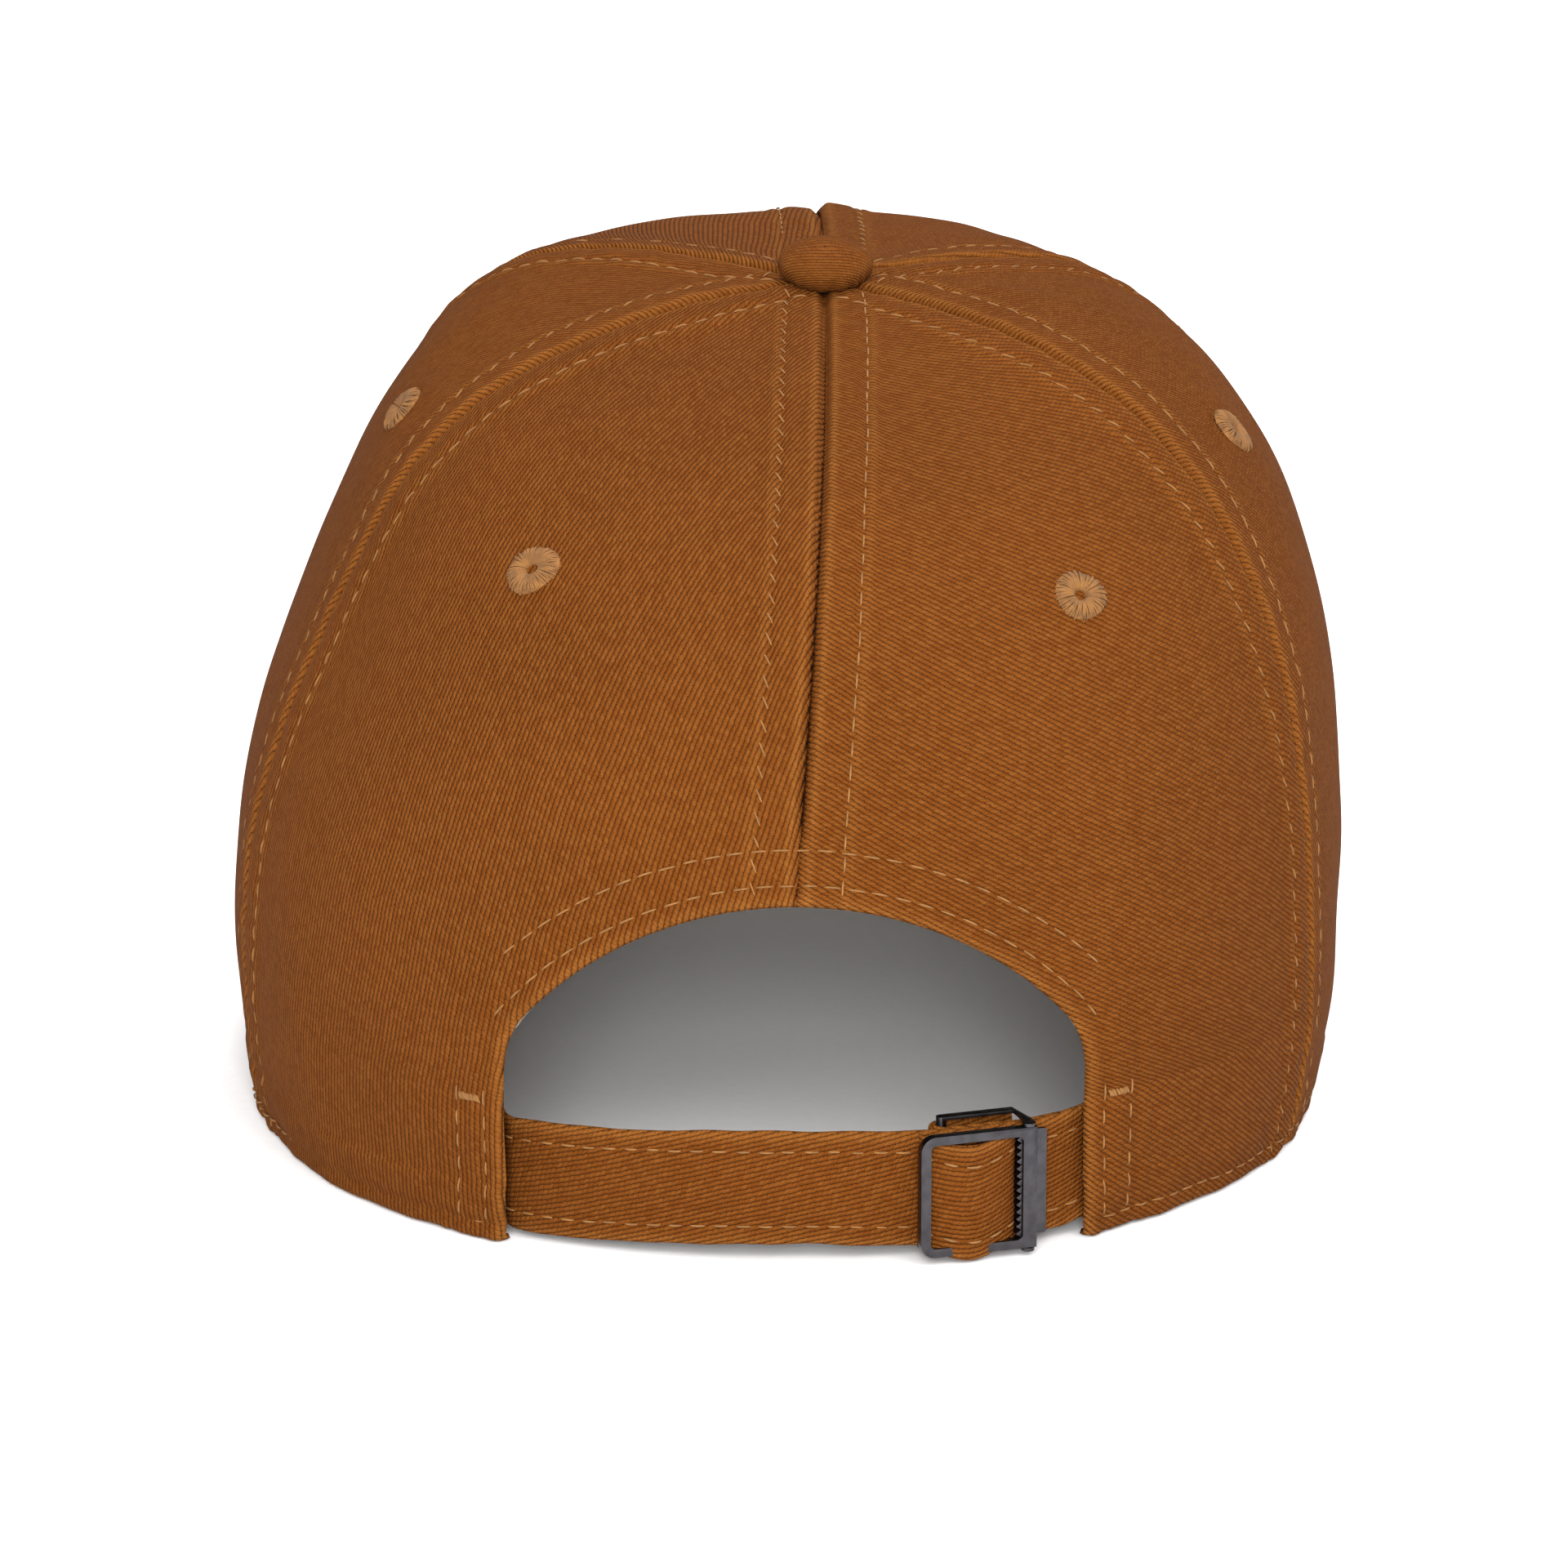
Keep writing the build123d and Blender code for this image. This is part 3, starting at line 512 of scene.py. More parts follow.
@dataclass(frozen=True)
class Twill(Finish):
    """Cotton twill, read from a piece's own cloth coordinates.

    Attributes:
        cord: Width of one diagonal cord, in metres.
        depth: Height of a cord, in metres.
    """

    cord: float = 0.00076
    depth: float = 0.00032
    sheen: float = 0.0

    def material(self) -> bpy.types.Material:
        """The Blender material of this cloth."""
        made = bpy.data.materials.new(self.name)
        made.use_nodes = True
        g = Graph(made.node_tree)
        shader = made.node_tree.nodes["Principled BSDF"]
        shader.inputs["Sheen Weight"].default_value = self.sheen
        shader.inputs["Sheen Roughness"].default_value = 0.45
        shader.inputs["Sheen Tint"].default_value = (1.0, 0.82, 0.62, 1.0)
        shader.inputs["Specular IOR Level"].default_value = 0.05
        tree = bpy.data.node_groups.get("twill_weave") or twill_group()
        cloth = g.put("NodeUVMap", uv_map="cloth").outputs[0]
        inputs = {"Cloth": cloth, "Cord": self.cord, "Float": self.cord * 1.15}
        weave = g.put("NodeGroup", node_tree=tree)
        for key, value in inputs.items():
            if isinstance(value, float):
                weave.inputs[key].default_value = value
            else:
                made.node_tree.links.new(value, weave.inputs[key])
        out = weave.outputs
        place = g.put("NodeTexCoord").outputs["Object"]
        rubbed_and_lit = g.put("NodeAttribute", attribute_name="wear_and_highlight").outputs["Fac"]
        # dark is a painted shade colour, used below for the grooves and pits of the weave.
        base, dark = self.colour, tuple(c * 0.30 for c in self.colour[:3]) + (1.0,)
        pale = paint(150, 97, 44)
        cloud = g.step(g.noise(place, 38, 4), 0.32, 0.72)
        tint = g.mix(g.calc("MULTIPLY", cloud, 0.30), base, tuple(c * 0.72 for c in base[:3]) + (1.0,))
        tint = g.mix(g.calc("MULTIPLY", out["Tone"], 0.14), tint, pale)
        fuzz = g.step(g.noise(place, 2600, 3), 0.52, 0.80)
        tint = g.mix(g.calc("MULTIPLY", fuzz, 0.20), tint, pale)
        # Painted lighter where the wear mask is high: edge wear together with painted highlight on raised
        # seams and edges.
        scuff_and_highlight = g.calc("MULTIPLY", g.calc("ADD", g.noise(place, 240, 4), 0.25), rubbed_and_lit)
        tint = g.mix(g.calc("MULTIPLY", scuff_and_highlight, 0.60), tint, pale)
        # Painted shade: grooves between cords darkened, pits between cords and floats darker still.
        tint = g.mix(g.calc("MULTIPLY", out["Groove"], 0.55), tint, dark)
        tint = g.mix(g.calc("MULTIPLY", out["PitShade"], 0.80), tint, tuple(c * 0.4 for c in dark[:3]) + (1.0,))
        bump = g.put("NodeBump", {"Strength": 1.0, "Distance": self.depth, "Height": out["Height"]})
        rough = g.calc("ADD", self.rough, g.calc("MULTIPLY", out["Groove"], 0.1))
        made.node_tree.links.new(tint, shader.inputs["Base Color"])
        made.node_tree.links.new(rough, shader.inputs["Roughness"])
        made.node_tree.links.new(bump.outputs[0], shader.inputs["Normal"])
        return made


TAN_TWILL = Twill("tan_twill", paint(94, 48, 10), rough=0.9)
THREAD = Finish("topstitch_thread", paint(114, 75, 30), rough=0.9, grain=0.0005, shade=0.2, sheen=0.0)
EYELET_THREAD = Finish("eyelet_thread", paint(108, 70, 28), rough=0.9, grain=0.0006, shade=0.25, sheen=0.0)
TAPE = Finish("seam_tape", paint(158, 140, 120), rough=0.8, grain=0.0007, relief=0.0001, sheen=0.2)
BUCKRAM = Finish("buckram", paint(196, 192, 184), rough=0.9, grain=0.0012, relief=0.0002, shade=0.2)
BAND_CLOTH = Finish(
    "sweatband_cloth", paint(186, 178, 168), rough=0.85, grain=0.0006, relief=0.00012, sheen=0.2
)
FOAM = Finish("pad_foam", paint(220, 216, 205), rough=0.95, grain=0.0010, relief=0.0003)
BOARD = Finish("visor_board", paint(225, 222, 214), rough=0.5, grain=0.002)
GUNMETAL = Finish("gunmetal", paint(70, 68, 71), rough=0.30, metal=1.0, grain=0.0006, relief=0.00001)
STEEL = Finish("button_steel", paint(150, 150, 148), rough=0.38, metal=1.0, grain=0.001)


# --- The crown's shape --------------------------------------------------------------------


@dataclass
class CrownForm:
    """The crown's outside, as a surface of a bearing and a share of the way up.

    A bearing is in degrees from the rear towards the wearer's right, about the line through the
    button. Each level is an oval of four arcs, scaled by a superellipse of the height, tilted back
    and moved forward as it rises. Sizes are in millimetres.
    """

    half_width: float = 87.0
    longer: float = 11.0
    flatter: float = 2.0
    height: float = 129.5
    belt: float = 24.0
    swell: float = 0.0414
    power: float = 3.01
    shift: float = 9.25
    tilt: float = 10.4
    lean: float = 6.8
    aside: float = 2.3
    pinch_left: float = -6.4
    pinch_right: float = -2.9
    shoulder_left: float = 1.5
    shoulder_right: float = -7.3
    low_left: float = -1.0
    low_right: float = -0.4
    front_dip: float = -6.3
    samples: int = 3000
    run: float = field(init=False, default=0.0)

    def __post_init__(self) -> None:
        """Works out the oval's arcs and the wall's running length."""
        self.end_radius = self.half_width - self.flatter
        self.end_centre = self.half_width + self.longer - self.end_radius
        self.side_centre = (self.end_centre**2 - self.flatter**2) / (2 * self.flatter)
        self.side_radius = self.half_width + self.side_centre
        self.tangent = np.arctan2(self.side_centre, self.end_centre)
        low = np.linspace(0, 1, 300)[:-1]
        angle = np.linspace(0, np.pi / 2, self.samples)
        above = (self.height - self.belt) * np.sin(angle) ** (2 / self.power)
        wall_z = np.concatenate([low * self.belt, self.belt + above])
        wall_s = np.concatenate(
            [1 + self.swell * (1 - (1 - low) ** 2), (1 + self.swell) * np.cos(angle) ** (2 / self.power)]
        )
        lengths = along(np.stack([wall_s * 90, wall_z, 0 * wall_z], axis=-1))
        self.run = float(lengths[-1])
        self.table = (lengths / lengths[-1], wall_z, wall_s)

    def oval(self, facing: Array) -> tuple[Array, Array]:
        """Point of the hem's oval whose outside faces a direction, in radians from the rear to the left."""
        turn = (facing + np.pi) % (2 * np.pi) - np.pi
        sine, cosine, size = np.sin(turn), np.cos(turn), np.abs(turn)
        ends = (size < self.tangent) | (size > np.pi - self.tangent)
        flank = self.side_radius * sine - np.sign(turn) * self.side_centre
        x = np.where(ends, self.end_radius * sine, flank)
        side = np.where(size < self.tangent, self.end_centre, -self.end_centre)
        y = np.where(ends, side + self.end_radius * cosine, self.side_radius * cosine)
        return x, y

    def level(self, facing: Array, up: Array) -> tuple[Array, Array, Array, Array]:
        """Point of the wall from its facing and its share of the way up.

        Returns:
            Place x and y about the button's line, then height, then height share above the belt.
        """
        shares, heights, scales = self.table
        z = np.interp(up, shares, heights)
        s = np.interp(up, shares, scales)
        q = np.clip((z - self.belt) / (self.height - self.belt), 0, 1)
        climb = np.degrees(np.arcsin(q**1.3))
        x, y = self.oval(facing)
        sine, front = np.sin(facing), -np.cos(facing)
        course = np.degrees(np.arctan2(sine, front))
        pull = np.where(sine > 0, self.pinch_left, self.pinch_right) * sine**2 * hump(climb, 32, 22)
        shoulder = self.shoulder_left * hump(course, 50, 35) + self.shoulder_right * hump(course, -50, 35)
        pull = (pull + shoulder * hump(climb, 58, 20)) * s / (s + 0.12)
        pull = pull + np.where(sine > 0, self.low_left, self.low_right) * sine**2 * hump(z, 10, 20)
        deep = y * s + pull * np.cos(facing)
        back = np.radians(self.tilt) * (q * q / (q + 0.05)) ** 0.6
        dip = self.front_dip * hump(climb, 80, 18) * np.clip(front, 0, 1) ** 2 * s / (s + 0.1)
        height = z - deep * np.sin(back) + dip
        return x * s + pull * sine, deep * np.cos(back) + self.shift * (1 - q**1.5), height, q

    def place(self, bearing: Array, up: Array) -> Array:
        """Points in millimetres at a bearing and share; the facing is found by halving a bracket."""
        bearing, up = np.broadcast_arrays(np.asarray(bearing, float), np.asarray(up, float))
        low, high = -np.radians(bearing) - 1.56, -np.radians(bearing) + 1.56
        wanted = np.radians(bearing)
        for _ in range(24):
            middle = (low + high) / 2
            x, y, _, _ = self.level(middle, up)
            past = (np.arctan2(-x, y) - wanted + np.pi) % (2 * np.pi) - np.pi
            low = np.where(past > 0, middle, low)
            high = np.where(past > 0, high, middle)
        x, y, z, q = self.level((low + high) / 2, up)
        return np.stack([x + self.aside - self.lean * q**1.3, y - self.shift, z], axis=-1)

    def frame(self, bearing: Array, up: Array) -> tuple[Array, Array, Array]:
        """Points, outward normals, and millimetres across the wall for each radian of bearing."""
        bearing, up = np.broadcast_arrays(np.asarray(bearing, float), np.asarray(up, float))
        point = self.place(bearing, up)
        turn, rise = 0.2, 0.0008
        around = (self.place(bearing + turn, up) - self.place(bearing - turn, up)) / np.radians(2 * turn)
        upward = self.place(bearing, np.minimum(up + rise, 1))
        upward = upward - self.place(bearing, np.maximum(up - rise, 0))
        climb = unit(upward)
        across = np.linalg.norm(around - np.sum(around * climb, axis=-1, keepdims=True) * climb, axis=-1)
        return point, unit(np.cross(around, climb)), across



@dataclass(frozen=True)
class Thread:
    """One kind of topstitch. Sizes are in millimetres.

    Attributes:
        pitch: Length of thread and gap together.
        dash: Length of thread that shows.
        radius: Half the thread's width.
        slant: How far each stitch leans across its row.
    """

    pitch: float = 3.5
    dash: float = 2.5
    radius: float = 0.17
    slant: float = 0.0
    rings: int = 6
    sides: int = 6

    def sew(self, path: Array, normals: Array, seed: int) -> tuple[Array, int]:
        """Threads lying along a line on cloth.

        Each stitch is a tube whose middle stands up by a half ellipse of its length and whose
        two ends dip into the cloth and narrow.

        Args:
            path: Points on the cloth, in metres.
            normals: Outward directions there.
            seed: Number for the small unevenness of the hand.

        Returns:
            Points as stitches by rings by sides by 3, and how many stitches there are.
        """
        run = along(path)
        count = int(run[-1] / (self.pitch * MM))
        if count < 1:
            return np.zeros((0, self.rings, self.sides, 3)), 0
        rng = np.random.default_rng(seed)
        middle = (np.arange(count) + 0.5) * run[-1] / count
        middle = middle + rng.uniform(-0.12, 0.12, count) * MM
        half = self.dash / 2 * MM * rng.uniform(0.9, 1.08, count)
        t = np.linspace(-1, 1, self.rings)
        where = middle[:, None] + half[:, None] * t[None, :]
        centre = at_length(path, run, where)
        outward = unit(at_length(normals, run, where))
        ahead = unit(at_length(path, run, where + 0.0003) - at_length(path, run, where - 0.0003))
        across = unit(np.cross(outward, ahead))
        lift = self.radius * (1.05 * np.sqrt(1 - 0.98 * t**2) - 0.45) * MM
        lean = (self.slant * t)[None, :, None] * MM + rng.normal(0, 0.05, (count, 1, 1)) * MM
        centre = centre + outward * lift[None, :, None] + across * lean
        girth = self.radius * MM * (1 - 0.45 * t**4)
        angle = np.arange(self.sides) * 2 * np.pi / self.sides
        beside, above = across[:, :, None, :], outward[:, :, None, :]
        ring = np.cos(angle)[:, None] * beside + np.sin(angle)[:, None] * above
        return centre[:, :, None, :] + ring * girth[None, :, None, None], count


@dataclass
class Needlework:
    """Rows of topstitches gathered for one piece."""

    name: str
    body: Body = Body.CAP
    blocks: list[Array] = field(default_factory=list)

    def row(self, path: Array, normals: Array, thread: Thread) -> None:
        """Adds one row along a line on cloth."""
        points, count = thread.sew(path, normals, len(self.blocks) * 17 + 3)
        if count:
            self.blocks.append(points)

    def tack(self, centre: Array, normal: Array, ahead: Array, length: float, width: float) -> None:
        """Adds a bar tack: close zigzag threads across a short bar, in millimetres."""
        count = max(4, int(width / 0.32))
        across = unit(np.cross(normal, ahead))
        bar = Thread(pitch=length * 0.9, dash=length, radius=0.22, slant=0.25)
        for k in range(count):
            middle = centre + ahead * ((k + 0.5) / count - 0.5) * width * MM
            reach = np.linspace(-length / 2, length / 2, 12)[:, None] * MM
            self.row(middle + across * reach, np.repeat(normal[None, :], 12, 0), bar)

    def make(self, finish: bpy.types.Material) -> bpy.types.Object:
        """The piece of all rows."""
        points, faces, start = [], [], 0
        for block in self.blocks:
            count, rings, sides = block.shape[:3]
            base = quads(rings, sides, closed=True)
            first = np.arange(sides)[::-1][None, :]
            last = np.arange((rings - 1) * sides, rings * sides)[None, :]
            for kind in (base, first, last):
                shifted = kind[None] + start + (np.arange(count) * rings * sides)[:, None, None]
                faces += shifted.reshape(-1, kind.shape[1]).tolist()
            points.append(block.reshape(-1, 3))
            start += count * rings * sides
        piece = finish_mesh(self.name, np.concatenate(points), faces, finish)
        return settle(piece, self.body)


@dataclass(frozen=True)
class Panel:
    """One of the six gores.

    Attributes:
        node: CAD node it stands for.
        start: Bearing of its first seam.
        end: Bearing of its second seam.
        grain: Direction of the weave's cords, in degrees from the way bearings rise.
    """

    node: str
    start: float
    end: float
    grain: float

    @property
    def middle(self) -> float:
        """Bearing half way between its seams."""
        return (self.start + self.end) / 2


@dataclass
class Crown:
    """Six gores, their seams, topstitches, eyelets and everything sewn inside. Millimetres."""

    form: CrownForm
    back_right: float = 56.0
    back_left: float = -64.3
    front_right: float = 120.0
    front_left: float = -120.0
    ply: float = 0.8
    allowance: float = 7.2
    stitch_off: float = 6.7
    hem_row: float = 3.4
    opening_half: float = 44.0
    opening_radius: float = 53.6
    opening_top: float = 56.5
    opening_aside: float = 0.3
    opening_blend: float = 3.0
    corner_reach: float = 43.0
    front_rise: float = 14.7
    visor_start: float = 10.0
    top_share: float = 0.984
    tack_up: float = 0.128
    tack_in: float = 5.5
    tack_long: float = 3.6
    tack_tall: float = 1.2
    rows: tuple[float, float] = (3.0, 8.0)
    front_seam: int = 3
    groove: float = 1.15
    groove_wide: float = 0.62

    @property
    def seams(self) -> tuple[float, ...]:
        """Bearings of the six seams."""
        return (0.0, self.back_right, self.front_right, 180.0, self.front_left, self.back_left)

    @property
    def panels(self) -> tuple[Panel, ...]:
        """The six gores in order round the crown."""
        return (
            Panel("back_panel_right", 0.0, self.back_right, -38.0),
            Panel("side_panel_right", self.back_right, self.front_right, -62.0),
            Panel("front_panel_right", self.front_right, 180.0, 60.0),
            Panel("front_panel_left", -180.0, self.front_left, 60.0),
            Panel("side_panel_left", self.front_left, self.back_left, 70.0),
            Panel("back_panel_left", self.back_left, 0.0, 86.0),
        )

    def opening_gap(self, point: Array) -> Array:
        """Distance outside the back opening: the smooth larger of those outside its arc and its sides."""
        x = point[..., 0] - self.opening_aside
        arc = np.hypot(x, point[..., 2] - (self.opening_top - self.opening_radius)) - self.opening_radius
        side = np.abs(x) - self.opening_half
        soft = np.maximum(self.opening_blend - np.abs(arc - side), 0) / self.opening_blend
        gap = np.maximum(arc, side) + soft**2 * self.opening_blend / 4
        return np.where(point[..., 1] > 0, gap, 99.0)

    def hem_height(self, point: Array) -> Array:
        """Height of the hem under a point: flat, and raised along an arc in front."""
        reach = self.form.half_width
        radius = (reach**2 + self.front_rise**2) / (2 * self.front_rise)
        arc = self.front_rise - radius + np.sqrt(np.maximum(radius**2 - point[..., 0] ** 2, 0))
        return np.where(point[..., 1] < -self.visor_start, np.maximum(arc, 0), 0.0)

    def hem_gap(self, point: Array) -> Array:
        """Height above the hem."""
        return point[..., 2] - self.hem_height(point)

    def rise_to(self, bearing: Array, gap: Callable[[Array], Array]) -> Array:
        """Lowest share of the way up at which a gap function is positive, by halving."""
        low, high = np.zeros(np.shape(bearing)), np.full(np.shape(bearing), 0.6)
        for _ in range(20):
            middle = (low + high) / 2
            clear = gap(self.form.place(bearing, middle)) > 0
            low, high = np.where(clear, low, middle), np.where(clear, middle, high)
        return np.where(high < 1e-5, 0.0, high)

    def seam_gap(self, bearing: Array, across: Array) -> tuple[Array, Array]:
        """Distance to the nearest seam and that seam's number."""
        offs = [np.abs((bearing - seam + 180) % 360 - 180) for seam in self.seams]
        nearest = np.argmin(offs, axis=0)
        return np.radians(np.min(offs, axis=0)) * across, nearest

    def relief(self, bearing: Array, up: Array, point: Array, across: Array) -> tuple[Array, Array]:
        """Height of the cloth above the plain form, and its mask of edge wear and painted highlight.

        A seam is a groove between two bands raised by the plies turned back under them, each
        ending past its topstitches. Hem and opening are rolled edges with a raised turning.
        Long and short waves make the cloth uneven.

        Returns:
            Millimetres outwards, and edge wear together with painted highlight, from 0 to 1.
        """
        run = up * self.form.run
        size, which = self.seam_gap(bearing, across)
        top = 1 - ease(run, self.form.run - 16, self.form.run - 7)
        pucker = drift(run + 31 * which, size * 0.7, 5.2, 5)
        band = ease(size, 0.5, 1.6) * (1 - ease(size, self.allowance, self.allowance + 2.0))
        raised = (0.50 * band - 0.42 * hump(size, self.stitch_off, 0.9)) * (0.35 + 0.65 * top)
        raised = raised + pucker * 0.13 * (1 - ease(size, 6, 12))
        deep = np.where(which == self.front_seam, 0.5, self.groove)
        raised = raised - deep * hump(size, 0, self.groove_wide)
        rib = hump(size, 1.5, 0.7)
        right_front = (which == self.front_seam) & (bearing > 0) & (bearing < 180)
        raised = raised + np.where(right_front, 1.3 * hump(size, 1.4, 2.2) * (1 - top + 0.35), 0)
        # Raised seam bands marked lighter: partly edge wear, partly painted highlight where the ridges catch
        # light.
        wear_and_highlight = 0.45 * rib + 0.25 * hump(size, self.allowance + 0.4, 0.7)
        hem = self.hem_gap(point)
        gap = self.opening_gap(point)
        for edge, rows in ((hem, (self.hem_row,)), (gap, self.rows)):
            raised = raised + 0.40 * (1 - ease(edge, 8.6, 10.4)) - 1.1 * (1 - ease(edge, -0.1, 1.3)) ** 2
            for row in rows:
                raised = raised - 0.34 * hump(edge, row, 0.85)
            raised = raised + 0.16 * drift(bearing * 1.5, edge * 0.5, 7.5, 9) * (1 - ease(edge, 6, 12))
            # Rolled hem and opening edges marked lighter: edge wear and painted highlight.
            wear_and_highlight = wear_and_highlight + 0.55 * hump(edge, 0.2, 0.9)
        raised = raised + 0.85 * hump(size, 0, self.groove_wide) * (1 - ease(gap, 8, 14))
        raised = raised + 0.45 * drift(bearing * 1.4, run, 64, 2) + 0.14 * drift(bearing * 1.4, run, 17, 4)
        return raised, np.clip(wear_and_highlight, 0, 1)

    def skin(self, bearing: Array, up: Array, inset: float = 0.0) -> tuple[Array, Array, Array]:
        """Cloth surface in metres, its outward normals, and its mask of edge wear and painted highlight."""
        bearing, up = np.broadcast_arrays(np.asarray(bearing, float), np.asarray(up, float))
        point, normal, across = self.form.frame(bearing, up)
        raised, wear_and_highlight = self.relief(bearing, up, point, across)
        return (point + normal * (raised - inset)[..., None]) * MM, normal, wear_and_highlight

    def cloth(self, bearing: Array, up: Array, panel: Panel) -> Array:
        """Cloth coordinates: arc across and length up, turned to the panel's grain."""
        scale = np.interp(up, self.form.table[0], self.form.table[2]) * 90
        u, v = scale * np.radians(bearing - panel.middle), up * self.form.run
        return turned(u, v, panel.grain) * MM

    def patch(self, bearing: Array, up: Array, panel: Panel, inset: float = 0.0) -> Patch:
        """One grid of a gore."""
        points, _, wear_and_highlight = self.skin(bearing, up, inset)
        return Patch(points, self.cloth(bearing, up, panel), wear_and_highlight)

    def plain_patches(self, panel: Panel, fine: float = 1.0, inset: float = 0.0) -> list[Patch]:
        """Grid of a front or side gore, from its hem to the top."""
        columns = panel.start + (panel.end - panel.start) * spaced(int(96 * fine), 0.2)
        low = self.rise_to(columns, self.hem_gap)
        rows = spaced(int(190 * fine), 0.07, 1.6)[:, None]
        up = low[None, :] + (self.top_share - low[None, :]) * rows
        return [self.patch(np.broadcast_to(columns, up.shape), up, panel, inset)]

    def corner(self, side: float) -> float:
        """Bearing at which the opening's arc reaches its rounded corner, on one side."""
        bearing = side * np.linspace(14, 30, 161)
        up = self.rise_to(bearing, self.opening_gap)
        reach = np.abs(self.form.place(bearing, up)[..., 0] - self.opening_aside)
        good = up > 0.05
        return float(side * np.interp(self.corner_reach, reach[good], np.abs(bearing[good])))

    def edge_bearing(self, up: Array, side: float) -> Array:
        """Bearing of the opening's upright edge at each height, by halving."""
        corner = abs(self.corner(side))
        low, high = np.full(up.shape, corner - 7), np.full(up.shape, corner + 8)
        for _ in range(24):
            middle = (low + high) / 2
            clear = self.opening_gap(self.form.place(side * middle, up)) > 0
            low, high = np.where(clear, low, middle), np.where(clear, middle, high)
        return side * high

    def back_patches(self, panel: Panel, inset: float = 0.0) -> list[Patch]:
        """Two grids of a back gore: above the opening, and the leg beside it."""
        side = 1.0 if panel.end > 0 else -1.0
        seam = panel.end if side > 0 else panel.start
        corner = self.corner(side)
        arch = corner * spaced(64, 0.3, 2.2)
        leg_share = spaced(62, 0.25, 2.4)
        leg = corner + (seam - corner) * leg_share
        corner_up = float(self.rise_to(np.array([corner]), self.opening_gap)[0])
        low = np.concatenate([self.rise_to(arch, self.opening_gap), np.full(61, corner_up)])
        columns = np.concatenate([arch, leg[1:]])
        rows = spaced(170, 0.08, 2.0)[:, None]
        up = low[None, :] + (self.top_share - low[None, :]) * rows
        above = self.patch(np.broadcast_to(columns, up.shape), up, panel, inset)
        height = np.linspace(0, corner_up, 56)
        edge = self.edge_bearing(height, side)
        edge[-1] = corner
        bearing = edge[:, None] + (seam - edge[:, None]) * leg_share[None, :]
        beside = self.patch(bearing, np.broadcast_to(height[:, None], bearing.shape), panel, inset)
        return [above, beside]

    def cut_area(self, panel: Panel) -> float:
        """Flat area of a gore in square metres, from the plain form without seams, waves, edge wear or
        painted highlight.

        The wall between the gore's two seams is split into small cells, and those above the hem,
        outside the opening and below the button are added up.
        """
        bearing = np.linspace(panel.start, panel.end, 61)
        up = np.linspace(0, self.top_share, 161)[:, None]
        point = self.form.place(np.broadcast_to(bearing, (161, 61)), np.broadcast_to(up, (161, 61)))
        one, other = point[1:, 1:] - point[:-1, :-1], point[1:, :-1] - point[:-1, 1:]
        cells = np.linalg.norm(np.cross(one, other), axis=-1) / 2
        middle = (point[1:, 1:] + point[:-1, :-1]) / 2
        kept = (self.opening_gap(middle) > 0) & (self.hem_gap(middle) > 0)
        return float(np.sum(cells * kept)) * MM**2

    def make_panel(self, panel: Panel, finish: bpy.types.Material) -> bpy.types.Object:
        """One gore as a sheet of cloth."""
        patches = self.back_patches(panel) if panel.node.startswith("back") else self.plain_patches(panel)
        piece = new_piece(panel.node + "_cloth", patches, finish, outward_from=(0, 0, 0.03), weld=2e-6)
        thicken(piece, self.ply * MM)
        self.cut_area(panel)
        return settle(piece, Body.CAP, [panel.node])

    def seam_row(self, seam: float, off: float, low: float, high: float = 0.958) -> tuple[Array, Array]:
        """Line beside a seam at a distance, from one share to another."""
        up = np.linspace(low, high, 500)
        _, _, across = self.form.frame(np.full(up.shape, seam), up)
        bearing = seam + np.degrees(off / across)
        points, normals, _ = self.skin(bearing, up)
        return points, normals

    def edge_row(self, bearing: Array, off: float, gap: Callable[[Array], Array]) -> tuple[Array, Array]:
        """Line at a distance inside an edge that a gap function measures."""
        up = self.rise_to(bearing, lambda p: gap(p) - off)
        points, normals, _ = self.skin(bearing, up)
        return points, normals

    def make_stitches(self, finish: bpy.types.Material) -> None:
        """Twin rows along every seam, one along the hem and two round the opening."""
        sewn = Needlework("crown_topstitch")
        straight, slanted = Thread(), Thread(slant=0.55, dash=2.3)
        for seam in self.seams:
            start = 0.0
            if seam == 0:
                start = float(self.rise_to(np.array([0.0]), self.opening_gap)[0])
            elif abs(seam) > 100:
                start = float(self.rise_to(np.array([seam]), self.hem_gap)[0])
            for off in (-self.stitch_off, self.stitch_off):
                path, normals = self.seam_row(seam, off, start + 0.006)
                sewn.row(path, normals, slanted if off < 0 else straight)
        right, left = self.corner(1.0), self.corner(-1.0)
        for off in self.rows:
            bearing = np.linspace(left - 1.5, right + 1.5, 700)
            path, normals = self.edge_row(bearing, off, self.opening_gap)
            sewn.row(path, normals, straight)
            for side in (1.0, -1.0):
                up = np.linspace(self.hem_row / self.form.run, 0.145, 120)
                edge = self.edge_bearing(up, side)
                _, _, across = self.form.frame(edge, up)
                beyond = edge + side * np.degrees(off / across)
                points, directions, _ = self.skin(beyond, up)
                sewn.row(points, directions, straight)
        for side in (1.0, -1.0):
            edge = self.edge_bearing(np.array([self.tack_up]), side)
            _, _, across = self.form.frame(edge, np.array([self.tack_up]))
            beside = edge + side * np.degrees(self.tack_in / across)
            spot, facing, _ = self.skin(beside, np.array([self.tack_up]))
            level = unit(np.cross(facing[0], (0.0, 0.0, 1.0)))
            sewn.tack(spot[0] - facing[0] * 0.1 * MM, facing[0], level, self.tack_tall, self.tack_long)
        ends = [self.edge_bearing(np.array([0.02]), side)[0] + side * 1.5 for side in (1.0, -1.0)]
        round_hem = np.linspace(ends[0], 360 + ends[1], 2400)
